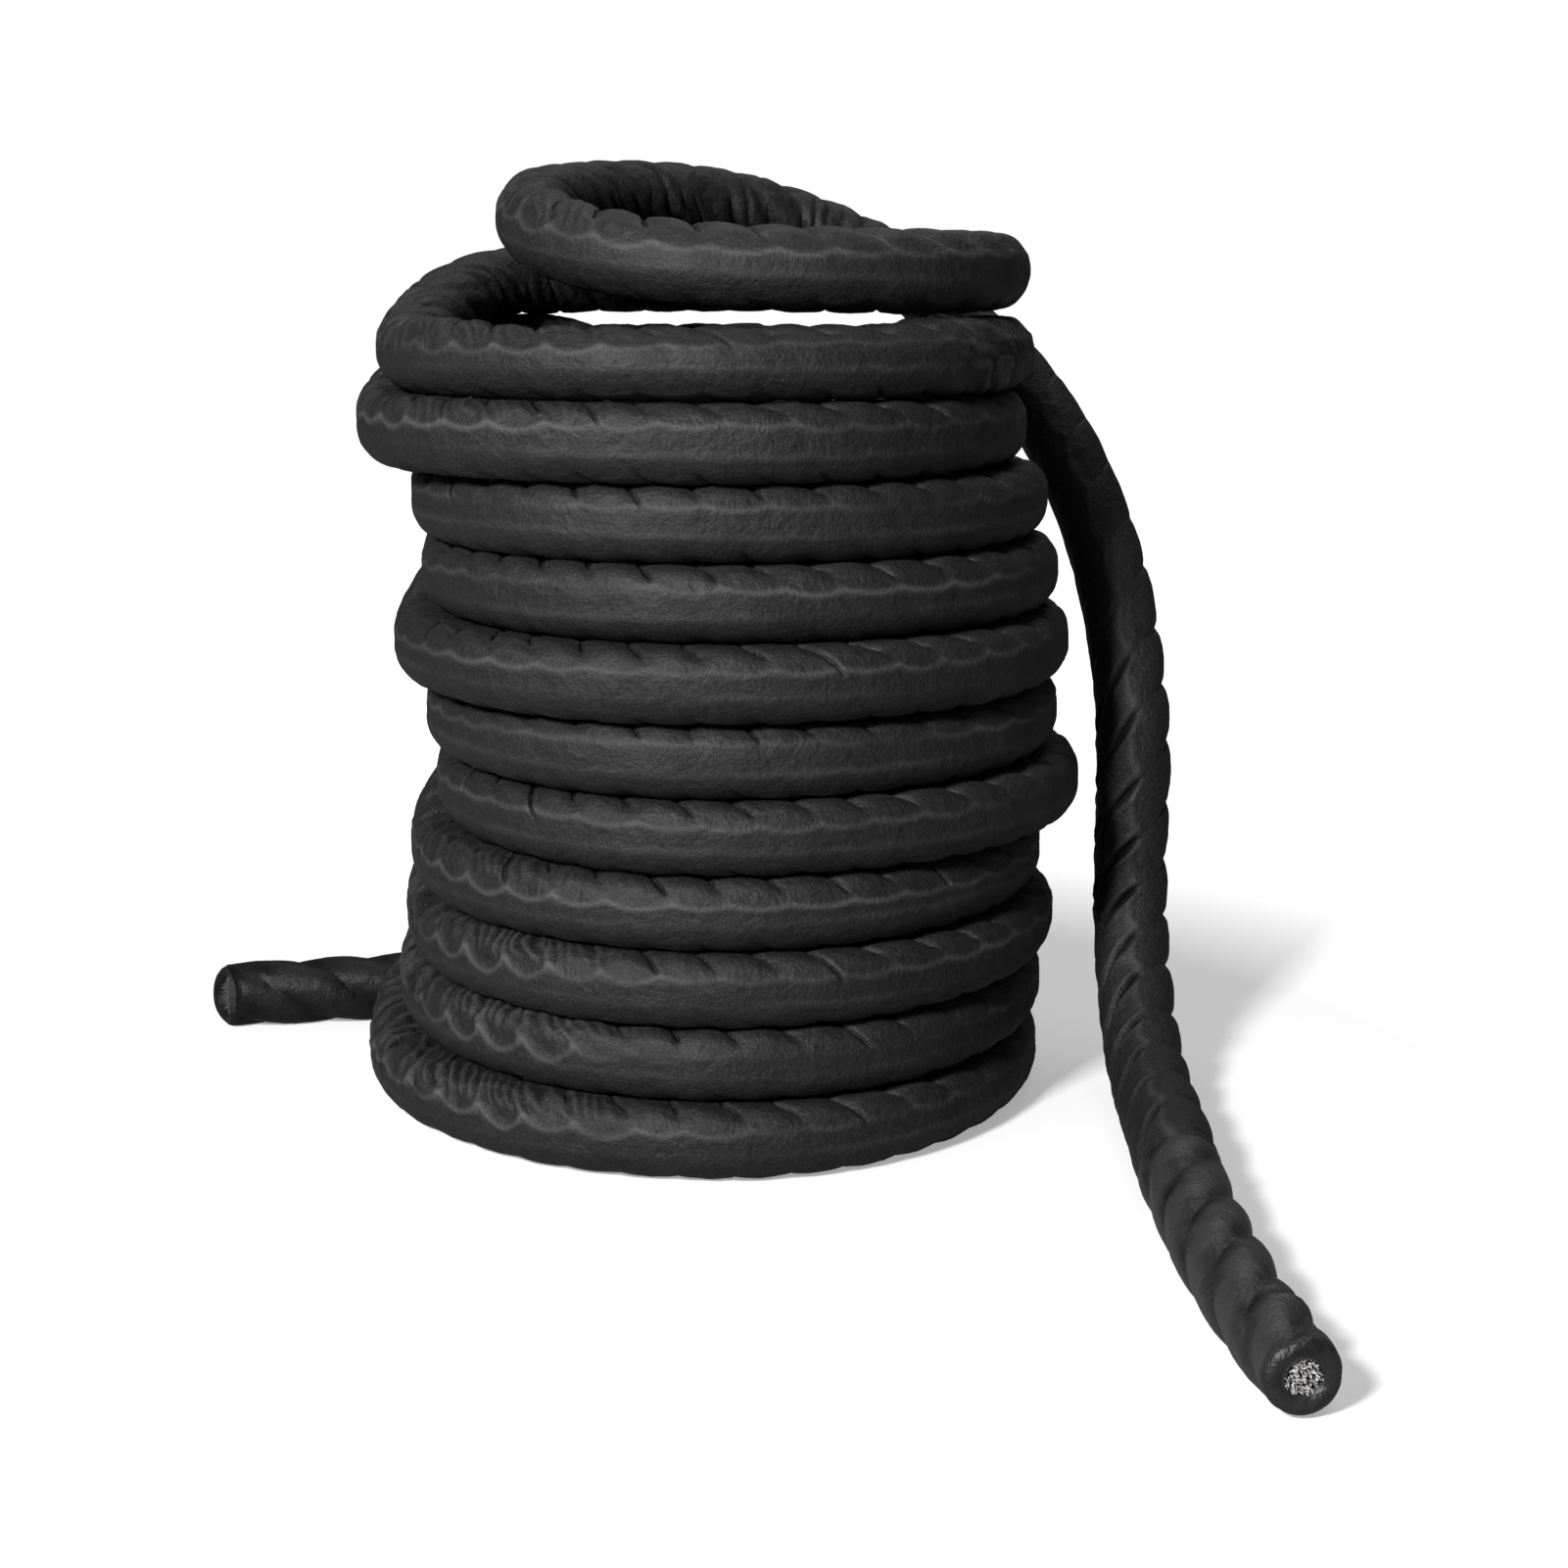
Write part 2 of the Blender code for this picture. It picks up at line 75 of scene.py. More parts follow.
# Free end, from the coil's last turn to the front handle's cut end, measured from the coil's axis
freePoints = (
    (-0.0100, 0.1390, 0.4085), (0.0380, 0.1260, 0.4095), (0.0820, 0.0940, 0.4105),
    (0.1170, 0.0490, 0.4115), (0.1320, -0.0030, 0.4118), (0.1180, -0.0560, 0.4115),
    (0.0800, -0.0960, 0.4112), (0.0300, -0.1140, 0.4115), (-0.0220, -0.1100, 0.4150),
    (-0.0650, -0.0830, 0.4230), (-0.0880, -0.0370, 0.4335), (-0.0900, 0.0130, 0.4425),
    (-0.0750, 0.0630, 0.4485), (-0.0440, 0.1080, 0.4510), (-0.0040, 0.1380, 0.4485),
    (0.0400, 0.1560, 0.4370), (0.0870, 0.1580, 0.4170), (0.1320, 0.1400, 0.3830),
    (0.1680, 0.1100, 0.3420), (0.1910, 0.0800, 0.2990), (0.2050, 0.0530, 0.2520),
    (0.2120, 0.0290, 0.2020), (0.2135, 0.0150, 0.1650), (0.2135, 0.0140, 0.1400),
    (0.2135, 0.0140, 0.1150), (0.2132, 0.0065, 0.0860), (0.2127, -0.0140, 0.0570),
    (0.2121, -0.0420, 0.0355), (0.2112, -0.0780, 0.0225), (0.2098, -0.1200, 0.0192),
    (0.2080, -0.1650, 0.0191), (0.2065, -0.2100, 0.0191), (0.2062, -0.2550, 0.0185),
    (0.2080, -0.3000, 0.0181), (0.2120, -0.3450, 0.0177), (0.2192, -0.3960, 0.0172),
)

# Back end, from the back handle's cut end to the coil's first turn, measured from the coil's axis
backPoints = (
    (-0.2860, 0.0660, 0.0170), (-0.2370, 0.0733, 0.0171), (-0.1880, 0.0835, 0.0173),
    (-0.1410, 0.0995, 0.0175), (-0.0950, 0.1200, 0.0176),
)


def smoothStep(value):
    value = np.clip(value, 0, 1)
    return value * value * (3 - 2 * value)


def coilPlace(turn):
    # centre of the rope after so many turns, clockwise seen from above
    azimuth = math.radians(rope["startAzimuth"] - 360 * turn)
    sideShares = rope["rightShares"] if math.cos(azimuth) > 0 else rope["leftShares"]
    endShares = rope["frontShares"] if math.sin(azimuth) < 0 else rope["backShares"]
    sideRow = min(max(math.floor(turn - (rope["startAzimuth"] - 90) / 360), 0), turnCount - 1)
    endRow = min(max(math.floor(turn - rope["startAzimuth"] / 360 + 0.5), 0), turnCount - 1)
    reach = math.hypot(math.cos(azimuth) / sideShares[sideRow], math.sin(azimuth) / endShares[endRow])
    climb = (turn - math.floor(turn) - rope["climbStart"]) / (rope["climbEnd"] - rope["climbStart"])
    return (
        rope["coilX"] + rope["coilRadius"] / reach * math.cos(azimuth),
        rope["coilY"] + rope["coilRadius"] / reach * math.sin(azimuth),
        rope["seatHeight"] + rope["pitch"] * (math.floor(turn) + float(smoothStep(climb))),
    )


def fromCoilAxis(points):
    return [(x + rope["coilX"], y + rope["coilY"], z) for x, y, z in points]


def smoothRoute(points):
    # natural cubic curve through the points
    samples = rope["routeSamples"]
    points = np.array(points)
    knots = np.concatenate(([0], np.cumsum(np.linalg.norm(np.diff(points, axis=0), axis=1))))
    spans = np.diff(knots)
    matrix = np.eye(len(points))
    target = np.zeros((len(points), 3))
    for row in range(1, len(points) - 1):
        before, after = spans[row - 1], spans[row]
        slopeBefore = (points[row] - points[row - 1]) / before
        slopeAfter = (points[row + 1] - points[row]) / after
        matrix[row, row - 1:row + 2] = before, 2 * (before + after), after
        target[row] = 6 * (slopeAfter - slopeBefore)
    bends = np.linalg.solve(matrix, target)
    places = []
    for row in range(len(points) - 1):
        for step in range(samples):
            b = step / samples
            a = 1 - b
            sag = ((a ** 3 - a) * bends[row] + (b ** 3 - b) * bends[row + 1]) * spans[row] ** 2 / 6
            places.append(a * points[row] + b * points[row + 1] + sag)
    places.append(points[-1])
    return np.array(places)


def distanceAlong(places):
    return np.concatenate(([0], np.cumsum(np.linalg.norm(np.diff(places, axis=0), axis=1))))


def blurred(values, width):
    # running mean of a sampled line, twice, with its ends held
    half = max(int(width / rope["sampleStep"] / 2), 1)
    for _ in range(2):
        padded = np.concatenate((np.repeat(values[:1], half, 0), values, np.repeat(values[-1:], half, 0)))
        total = np.cumsum(np.concatenate((np.zeros_like(padded[:1]), padded)), axis=0)
        values = (total[2 * half + 1:] - total[:-2 * half - 1]) / (2 * half + 1)
    return values


def makeCentreline():
    samples = rope["routeSamples"]
    back = smoothRoute(fromCoilAxis(backPoints) + [coilPlace(turn) for turn in rope["leadTurns"]])
    joining = [coilPlace(turnCount - share) for share in rope["joinTurns"]]
    free = smoothRoute(joining + fromCoilAxis(freePoints))
    lead = back[:len(backPoints) * samples]
    coil = np.array([coilPlace(turn) for turn in np.arange(0, turnCount, rope["coilStep"])])
    rough = np.concatenate((lead, coil, free[(len(joining) - 1) * samples:]))
    along = distanceAlong(rough)
    tailRow = len(lead) + len(coil)
    marks = {
        "coilEnd": along[tailRow],
        "dropStart": along[tailRow + (rope["topTurnPoints"] + 1) * samples],
        "swing": along[tailRow + (rope["swingPoint"] + 1) * samples],
        "length": along[-1],
    }
    even = np.linspace(0, along[-1], round(along[-1] / rope["sampleStep"]) + 1)
    places = np.stack([np.interp(even, along, axis) for axis in rough.T], axis=1)
    return even, blurred(places, rope["cornerRun"]), marks


even, centreline, marks = makeCentreline()
print("centreline:", round(marks["length"], 3), "m")


def makeFrames():
    # side, up and heading at each sample: level round the coil, carried along without twist on the tail
    heading = np.gradient(centreline, even, axis=0)
    heading /= np.linalg.norm(heading, axis=1)[:, None]
    side = np.cross((0.0, 0.0, 1.0), heading)
    side /= np.maximum(np.linalg.norm(side, axis=1), 1e-9)[:, None]
    first = int(np.searchsorted(even, marks["dropStart"] - rope["twistStart"]))
    for row in range(first, len(even)):
        carried = side[row - 1] - heading[row] * np.dot(side[row - 1], heading[row])
        side[row] = carried / np.linalg.norm(carried)
    return side, np.cross(heading, side), heading


sideLine, upLine, headingLine = makeFrames()


def lineAt(line, distance):
    if line.ndim == 1:
        return np.interp(distance, even, line)
    return np.stack([np.interp(distance, even, axis) for axis in line.T], axis=-1)


# The sleeve as a tube: metres, and for zones the heights or angles where they start and are full
sleeve = {
    "coilLay": 0.0750,
    "tailLay": 0.0915,
    "handleLay": 0.117,
    "handleReach": 0.26,
    "tailLayRun": 0.15,
    "handleLayRun": 0.10,
    "strands": 3,
    "strandWaver": 0.11,
    "waverSize": 0.030,
    "tailRun": 0.08,  # the folds of the coil turn into the tail's over this length
    "ringStep": 0.00125,
    "sides": 72,
    "showSide": 0.30,  # how far the sides crowd together on the face that shows
    "showAngle": 0.25,  # and how far up that face is turned, in radians
    "squareness": 3.0,  # how full the corners of a seated turn are; 2 is round
    "underSquareness": 2.35,
    "underRun": (-0.1, 0.5),
    "cornerRun": 0.0010,
    "turnOverlap": 0.0004,  # how far turns press into each other
    "looseShare": 0.85,
    "looseHeight": (0.345, 0.375),  # turns above this aren't pressed
    "seatEnd": (0.15, 0.40),  # and past the coil's end the rope isn't, either
    "frontSag": 0.0031,
    "backSag": 0.0062,
    "sagRun": (0.0, 0.9),
    "raisedLift": 0.0010,
    "contactReach": 0.10,
    "contactRise": 0.0003,
    "wrinkleRise": 0.00028,
    "wrinkleSize": 0.010,
    "wrinkleLevel": 0.4,
    "lumpRise": 0.0005,
    "lumpSize": 0.045,
    "mouthShare": 0.80,  # thickness under a handle's mouth
    "mouthRun": 0.022,
    "mouthLead": 0.002,
    "endSink": 0.0004,  # the outermost rings sink under the next piece
    "mapSize": 0.1,  # metres of cloth to one unit of its UV map
}


def makeLayCount():
    # strand turns counted along the rope: tight in the coil, easier on the tail and at the handles
    toTail = smoothStep((even - marks["dropStart"]) / sleeve["tailLayRun"])
    lay = sleeve["coilLay"] + (sleeve["tailLay"] - sleeve["coilLay"]) * toTail
    run = sleeve["handleLayRun"]
    toFront = smoothStep((even - marks["length"] + sleeve["handleReach"] + run) / run)
    toBack = smoothStep((sleeve["handleReach"] + run / 2 - even) / run)
    lay = lay + (sleeve["handleLay"] - lay) * np.maximum(toFront, toBack)
    return np.concatenate(([0], np.cumsum(np.diff(even) / lay[1:]))), lay


layCount, layLine = makeLayCount()


def between(share, low, high):
    return low + (high - low) * share


scatter = (73856093, 19349663, 83492791, 2654435761, 1274126177)  # large odd numbers mix up small ones
largest = 0x7FFFFFFF


def latticeNoise(points, size, seed):
    # smooth noise from -1 to 1 at points in space, with features of about that size
    scaled = points / size + 1000.0  # well away from the lattice's zero
    cell = np.floor(scaled).astype(np.int64)
    part = scaled - cell
    ease = part * part * part * (part * (part * 6 - 15) + 10)
    total = np.zeros(len(points))
    for corner in range(8):
        offset = np.array((corner & 1, corner >> 1 & 1, corner >> 2 & 1))
        node = cell + offset
        mixed = seed * scatter[3]
        for axis in range(3):
            mixed = mixed ^ node[:, axis] * scatter[axis]
        mixed = (mixed ^ (mixed >> 13)) * scatter[4] & largest
        turn = mixed / largest * 2 * math.pi
        tilt = ((mixed >> 7) & 1023) / 511.5 - 1
        flat = np.sqrt(1 - tilt * tilt)
        reach = part - offset
        slope = reach[:, 0] * np.cos(turn) * flat + reach[:, 1] * np.sin(turn) * flat + reach[:, 2] * tilt
        weight = np.prod(np.where(offset == 1, ease, 1 - ease), axis=1)
        total += slope * weight
    return total * 1.6  # its peaks come to about 1


def lineNoise(position, seed):
    # smooth noise from -1 to 1 along a line, with features about one unit long
    points = np.stack((position, np.full_like(position, 0.37), np.full_like(position, 0.61)), axis=-1)
    return latticeNoise(points.reshape(-1, 3), 1.0, seed).reshape(position.shape)


def wrapped(angle):
    return (angle + math.pi) % (2 * math.pi) - math.pi


def zone(value, start, full):
    # 0 at start, 1 from full on, either way round
    return smoothStep((value - start) / (full - start))


def band(value, start, full, fade, end):
    # 1 from full to fade, 0 before start and after end
    return zone(value, start, full) * (1 - zone(value, fade, end))


def bell(value, width, power=2):
    return np.exp(-(value / width) ** power)


def pleated(count, fullness):
    # one round pleat for each whole number, 0 in the creases between them
    return np.abs(np.sin(math.pi * count)) ** fullness


def chanceOf(number, seed):
    # the same chance value from 0 to 1 for each whole number
    mixed = (number.astype(np.int64) + 7919) * 2654435761 + seed * 40503
    mixed = (mixed ^ (mixed >> 15)) * 2246822519 & 0xFFFFFFFF
    return ((mixed ^ (mixed >> 13)) & 0xFFFF) / 65535


def angleTowards(distance, direction):
    # the angle round the rope that faces a world direction
    return np.arctan2(np.sum(direction * lineAt(upLine, distance), axis=-1),
                      np.sum(direction * lineAt(sideLine, distance), axis=-1))


# Where on the coil the sleeve is slack: degrees round the coil's axis, spread in radians, and how much of
# it the open top turns have. There its folds close into cells, and further round into gathers
slack = {
    "cells": {"azimuth": -131, "spread": 0.40, "upperShare": 0.45},
    "gathers": {"azimuth": -174, "spread": 0.50, "upperShare": 0.70},
    "lowHeight": (0.085, 0.150),
    "topHeight": (0.325, 0.345),
    "bunchAzimuth": -22,  # the right end of the turn under the raised loop
    "bunchSpread": 0.42,
    "bunchHeight": (0.352, 0.362, 0.384, 0.392),
}


def turnedFrom(places, azimuth):
    here = np.arctan2(places[:, 1] - rope["coilY"], places[:, 0] - rope["coilX"])
    return wrapped(here - math.radians(azimuth))


def slackZone(places, azimuth, spread, upperShare):
    height = places[:, 2]
    share = 1 - zone(height, *slack["lowHeight"]) + upperShare * zone(height, *slack["topHeight"])
    return (bell(turnedFrom(places, azimuth), spread) * share)[:, None]


def bunchedZone(places):
    turned = turnedFrom(places, slack["bunchAzimuth"])
    return (bell(turned, slack["bunchSpread"], 4) * band(places[:, 2], *slack["bunchHeight"]))[:, None]


# Folds on a coiled turn. Bands and reaches are in degrees up from the turn's outer face, the rest in metres
turnFold = {
    "upper": (22, 60, 120, 165),
    "under": (28, 62, 120, 165),
    "inside": (115, 160),
    "faceRise": 0.00030,
    "topRise": 0.0026,
    "underRise": 0.0011,
    "insideRise": 0.0014,
    "lobeFullness": 0.65,
    "lobeLevel": 0.72,
    "creaseSlant": 0.85,
    "creaseDepth": 0.0017,
    "creaseShares": (0.45, 1.20),
    "creaseWidth": 0.0009,
    "creaseReach": 50,
    "creaseStray": 38,
    "creaseFade": 16,
    "creaseEnd": (95, 130),
    "creaseShade": 0.5,
    "cellClear": 0.8,  # where the cells are, the creases give way
    "underReach": 62,
    "underStray": 30,
    "underFade": 14,
    "underShare": 0.55,
    "lipRise": 0.00020,
    "lipPlace": 0.0021,
    "lipWidth": 0.0012,
    # lips beside the creases are lightened: rub with painted highlight
    "lipRubAndHighlight": 0.10,
    "rimPlace": 54,
    "rimSwing": 9,
    "rimWidth": 5.5,
    "rimShares": (0.45, 0.95),
    # the fold line up the face is lightened: painted highlight with rub
    "rimHighlightAndRub": 0.55,
    "foldRise": 0.00060,
    "foldWidth": 0.00125,
    "cellDepth": 0.0017,
    "cellPlace": 0.0052,
    "cellWidth": 0.0036,
    "cellShares": (0.25, 0.75),  # of the fold that shows, and of the slack
    "nodeRise": 0.0007,
    "nodeSize": (0.0024, 0.0030),
    # nodes are lightened: rub with painted highlight
    "nodeRubAndHighlight": (0.25, 0.8),
    "pillarRise": 0.0010,
    "pillarWidth": 0.0016,
    "pillarStart": (-0.001, 0.002),
    "pillarEnd": (75, 100),
    # pillars are lightened: rub with painted highlight
    "pillarRubAndHighlight": 0.45,
    "insideShade": 0.30,
    "insideShadeRun": (95, 140),
}

# Folds that hang along a turn between two creases: degrees up the face, metres of hang. Waves are share,
# size and seed of a noise along the rope
foldHang = {
    "wanderSize": 0.16,
    "slackDrop": 9,
    "slackHang": 2.3,
    "fullness": 0.85,
    "sagShares": (0.7, 1.3),
    "level": 0.45,
    "shownLevel": 0.48,
    "shownWaves": ((0.75, 0.110, 10), (0.30, 0.030, 11)),
    "shownLimits": (0.06, 1.0),
    "slackShown": 0.85,
    "slackHidden": 0.7,
    "brokenBelow": -30,  # lower than this it only shows in some cells
    "brokenShare": 0.45,
    "brokenFullness": 0.6,
}
hangingFolds = (
    {"middle": 24, "hang": 0.0024, "strength": 1.00, "wander": 9, "width": 1.0, "seed": 21},
    {"middle": -8, "hang": 0.0009, "strength": 0.40, "wander": 9, "width": 1.3, "seed": 22},
    {"middle": -46, "hang": 0.0032, "strength": 0.45, "wander": 8, "width": 1.0, "seed": 23},
)

# Pleats where the bend leaves cloth to spare: where they are in degrees, pleats to a strand, how far they
# waver, then what they do
# pleat tops take rub with painted highlight, the creases between them painted shade
pleats = {
    "inner": {"around": (88, 125), "count": 1.7, "waver": 0.7, "fullness": 0.70, "rise": 0.0029,
              "level": 0.66, "rubAndHighlight": 0.30, "rubAndHighlightPower": 6, "shade": 0.55},
    "gathers": {"around": (0, 26, 100, 130), "count": 1.9, "waver": 0.8, "fullness": 0.75, "rise": 0.0040,
                "level": 0.64, "rubAndHighlight": 0.60, "rubAndHighlightPower": 4, "shade": 0.75},
    "teeth": {"around": (26, 44, 85, 110), "count": 3.7, "waver": 1.0, "fullness": 0.75, "rise": 0.0026,
              "level": 0.64, "rubAndHighlight": 0.50, "rubAndHighlightPower": 4, "shade": 0.75},
    "bunch": {"around": (-75, -40, 70, 105), "count": 1.55, "waver": 0.9, "fullness": 0.75, "rise": 0.0026,
              "level": 0.62, "rubAndHighlight": 0.55, "rubAndHighlightPower": 5, "shade": 0.70},
}
pleatWaves = ((1.3, 0.028, 7), (0.35, 0.010, 17))
pleatSpread = {"level": 0.75, "share": 0.7, "size": 0.045, "limits": (0.15, 1.3)}


def strandSwell(degrees, lobe):
    # the strands swell the cloth where it is slack, above, below and inside
    amount = (turnFold["faceRise"] + turnFold["topRise"] * band(degrees, *turnFold["upper"])
              + turnFold["underRise"] * band(-degrees, *turnFold["under"])
              + turnFold["insideRise"] * zone(np.abs(degrees), *turnFold["inside"]))
    return amount * (lobe - turnFold["lobeLevel"])


def slantCreases(degrees, count, cells):
    # how far each crease between two strands reaches up and down the turn, each by its own chance
    index = np.round(count)
    reach = turnFold["creaseReach"] - turnFold["creaseStray"] * chanceOf(index, 3) ** 3
    depth = between(chanceOf(index, 4), *turnFold["creaseShares"])
    above = zone(degrees, reach, reach + turnFold["creaseFade"]) * (1 - zone(degrees, *turnFold["creaseEnd"]))
    above = above * (1 - turnFold["cellClear"] * cells)
    reach = turnFold["underReach"] - turnFold["underStray"] * chanceOf(index, 5) ** 2
    return depth * (above + turnFold["underShare"] * zone(-degrees, reach, reach + turnFold["underFade"]))


def hangingFold(fold, along, turned, lays, warp, cells):
    # the ridge of one hanging fold, how much of it shows, and the height over it
    slackHere = cells * (fold["middle"] > 0)
    wander = fold["wander"] * lineNoise(along / foldHang["wanderSize"], fold["seed"])
    centre = np.radians(fold["middle"] + wander - foldHang["slackDrop"] * slackHere)
    here = sleeve["strands"] * (lays - centre / (2 * math.pi)) + warp[:, sleeve["sides"] // 12][:, None]
    cell = np.round(here - 0.5)
    sag = pleated(here, foldHang["fullness"]) * between(chanceOf(cell, fold["seed"]), *foldHang["sagShares"])
    hang = fold["hang"] / rope["radius"] * (1 + foldHang["slackHang"] * slackHere)
    above = (turned - centre - hang * (foldHang["level"] - sag)) * rope["radius"]
    shown = foldHang["shownLevel"]
    for share, size, seed in foldHang["shownWaves"]:
        shown = shown + share * lineNoise(along / size, fold["seed"] + seed)
    shown = fold["strength"] * np.clip(shown, *foldHang["shownLimits"])
    if fold["middle"] > 0:
        shown = np.maximum(shown, foldHang["slackShown"] * cells)
    else:
        if fold["middle"] < foldHang["brokenBelow"]:
            kept = chanceOf(cell, fold["seed"] + 20) > foldHang["brokenShare"]
            shown = shown * kept * pleated(here, foldHang["brokenFullness"])
        shown = shown * (1 - foldHang["slackHidden"] * cells)
    return bell(above, turnFold["foldWidth"] * fold["width"]) * shown, shown, above


def coilFolds(distance, angle, count, lays, warp, spaceNoise):
    # the slack upper side is scalloped and has creases, the outer face is taut below a hanging fold
    spacing = lineAt(layLine, distance)[:, None] / sleeve["strands"]
    places = lineAt(centreline, distance)
    cells, gathered = slackZone(places, **slack["cells"]), slackZone(places, **slack["gathers"])
    turned = wrapped(angle)
    degrees = np.degrees(turned)
    lobe = pleated(count, turnFold["lobeFullness"])
    rise = strandSwell(degrees, lobe)

    across = (count - np.round(count)) * spacing * turnFold["creaseSlant"]
    creasedAndShaded = slantCreases(degrees, count, cells)
    crease = bell(across, turnFold["creaseWidth"]) * creasedAndShaded
    lip = bell(np.abs(across) - turnFold["lipPlace"], turnFold["lipWidth"]) * creasedAndShaded
    rise += turnFold["lipRise"] * lip - turnFold["creaseDepth"] * crease
    rim = bell(degrees - turnFold["rimPlace"] - turnFold["rimSwing"] * lobe, turnFold["rimWidth"])
    rim = rim * between(chanceOf(np.floor(count), 6), *turnFold["rimShares"])
    # tone: rub with painted highlight on lips and the fold line, painted shade in the crease
    rubAndPaintedLight = (turnFold["lipRubAndHighlight"] * lip - turnFold["creaseShade"] * crease
            + turnFold["rimHighlightAndRub"] * rim * (1 - creasedAndShaded))

    for fold in hangingFolds:
        ridge, shown, above = hangingFold(fold, distance[:, None], turned, lays, warp, cells)
        rise += turnFold["foldRise"] * ridge
        # the fold's ridge is lightened: rub with painted highlight
        rubAndPaintedLight += ridge
        if fold["middle"] > 0:  # between its creases the cloth hollows into cells
            amount = turnFold["cellShares"][0] * shown + turnFold["cellShares"][1] * cells
            hollow = bell(above - turnFold["cellPlace"], turnFold["cellWidth"]) * lobe
            node = bell(across, turnFold["nodeSize"][0]) * bell(above, turnFold["nodeSize"][1])
            pillar = bell(across, turnFold["pillarWidth"]) * zone(above, *turnFold["pillarStart"])
            pillar = pillar * (1 - zone(degrees, *turnFold["pillarEnd"])) * cells
            rise += (turnFold["nodeRise"] * node - turnFold["cellDepth"] * hollow) * amount
            rise += turnFold["pillarRise"] * pillar
            # nodes and pillars take rub with painted highlight
            rubAndHighlight = turnFold["nodeRubAndHighlight"][1] * cells + turnFold["nodeRubAndHighlight"][0] * shown
            rubAndPaintedLight += rubAndHighlight * node + turnFold["pillarRubAndHighlight"] * pillar

    waver = sum(share * spaceNoise(size, seed) for share, size, seed in pleatWaves)
    uneven = np.clip(pleatSpread["level"] + pleatSpread["share"] * spaceNoise(pleatSpread["size"], 8),
                     *pleatSpread["limits"])
    where = {"inner": 1 - gathered, "gathers": gathered, "teeth": cells, "bunch": bunchedZone(places)}
    for name, row in pleats.items():
        around = zone(np.abs(degrees), *row["around"]) if name == "inner" else band(degrees, *row["around"])
        spare = where[name] * around * uneven
        pleat = pleated(count * row["count"] + row["waver"] * waver, row["fullness"])
        rise += row["rise"] * spare * (pleat - row["level"])
        # rub with painted highlight on pleat tops, painted shade between them
        rubAndPaintedLight += row["rubAndHighlight"] * spare * pleat ** row["rubAndHighlightPower"] - row["shade"] * spare * (1 - pleat)
    rubAndPaintedLight -= turnFold["insideShade"] * zone(np.abs(degrees), *turnFold["insideShadeRun"])
    # the second result is rub with painted highlight on ridges, and painted shade in creases and valleys
    return rise, rubAndPaintedLight, creasedAndShaded


# Folds on the free tail: each strand shows as a tile. Its left side is the one the pressed fold is on
tailFold = {
    "frontPoint": (0.056, -1.04, 0.403),
    "foldTurn": 0.98,  # radians from the side that faces the front point to the pressed fold
    "left": (0.28, 0.60),
    "right": (-0.10, 0.85),
    "plainRise": 0.0005,
    "rise": 0.0021,
    "lobeLean": 0.86,
    "lobeFullness": 0.62,
    "lobeLevel": 0.70,
    "lobeShares": (0.10, 1.0),
    "lobeHeight": (0.30, 0.19),
    "creaseHeight": (0.26, 0.15),
    "arcHeight": (0.32, 0.22),
    "creaseDepth": 0.0034,
    "creaseWidth": 0.0016,
    "creaseSlant": 0.80,
    "creaseShares": (0.70, 1.15),
    "creaseShade": 1.1,
    "edgeFade": 0.55,  # towards the left edge
    "edgeRun": (0.80, 1.0),
    "lipPlace": 0.0042,
    "lipWidth": 0.0017,
    "lipRise": 0.0009,
    # lips beside each crease: rub with painted highlight, stronger on the lower lip
    "lipRubsAndHighlights": (0.15, 0.40),  # upper and lower
    "foldPlace": 0.50,
    "foldStray": 0.08,
    "foldStraySize": 0.05,
    "foldSwing": 0.20,
    "foldLead": 0.10,
    "foldWidth": 0.0014,
    "foldRise": 0.00075,
    "foldLevel": 0.85,
    "foldChange": 0.6,
    "foldChangeSize": 0.04,
    "foldLimits": (0.2, 1.2),
    # the pressed fold's ridge: rub with painted highlight
    "foldRubAndHighlight": 0.50,
    "arcDepth": 0.0012,
    "arcWidth": 0.0022,
    "arcShares": (0.5, 1.0),
    "arcShade": 0.30,
    # painted shade along the seams on the right side
    "rightSeamShade": 0.5,
    "slew": 0.60,
}


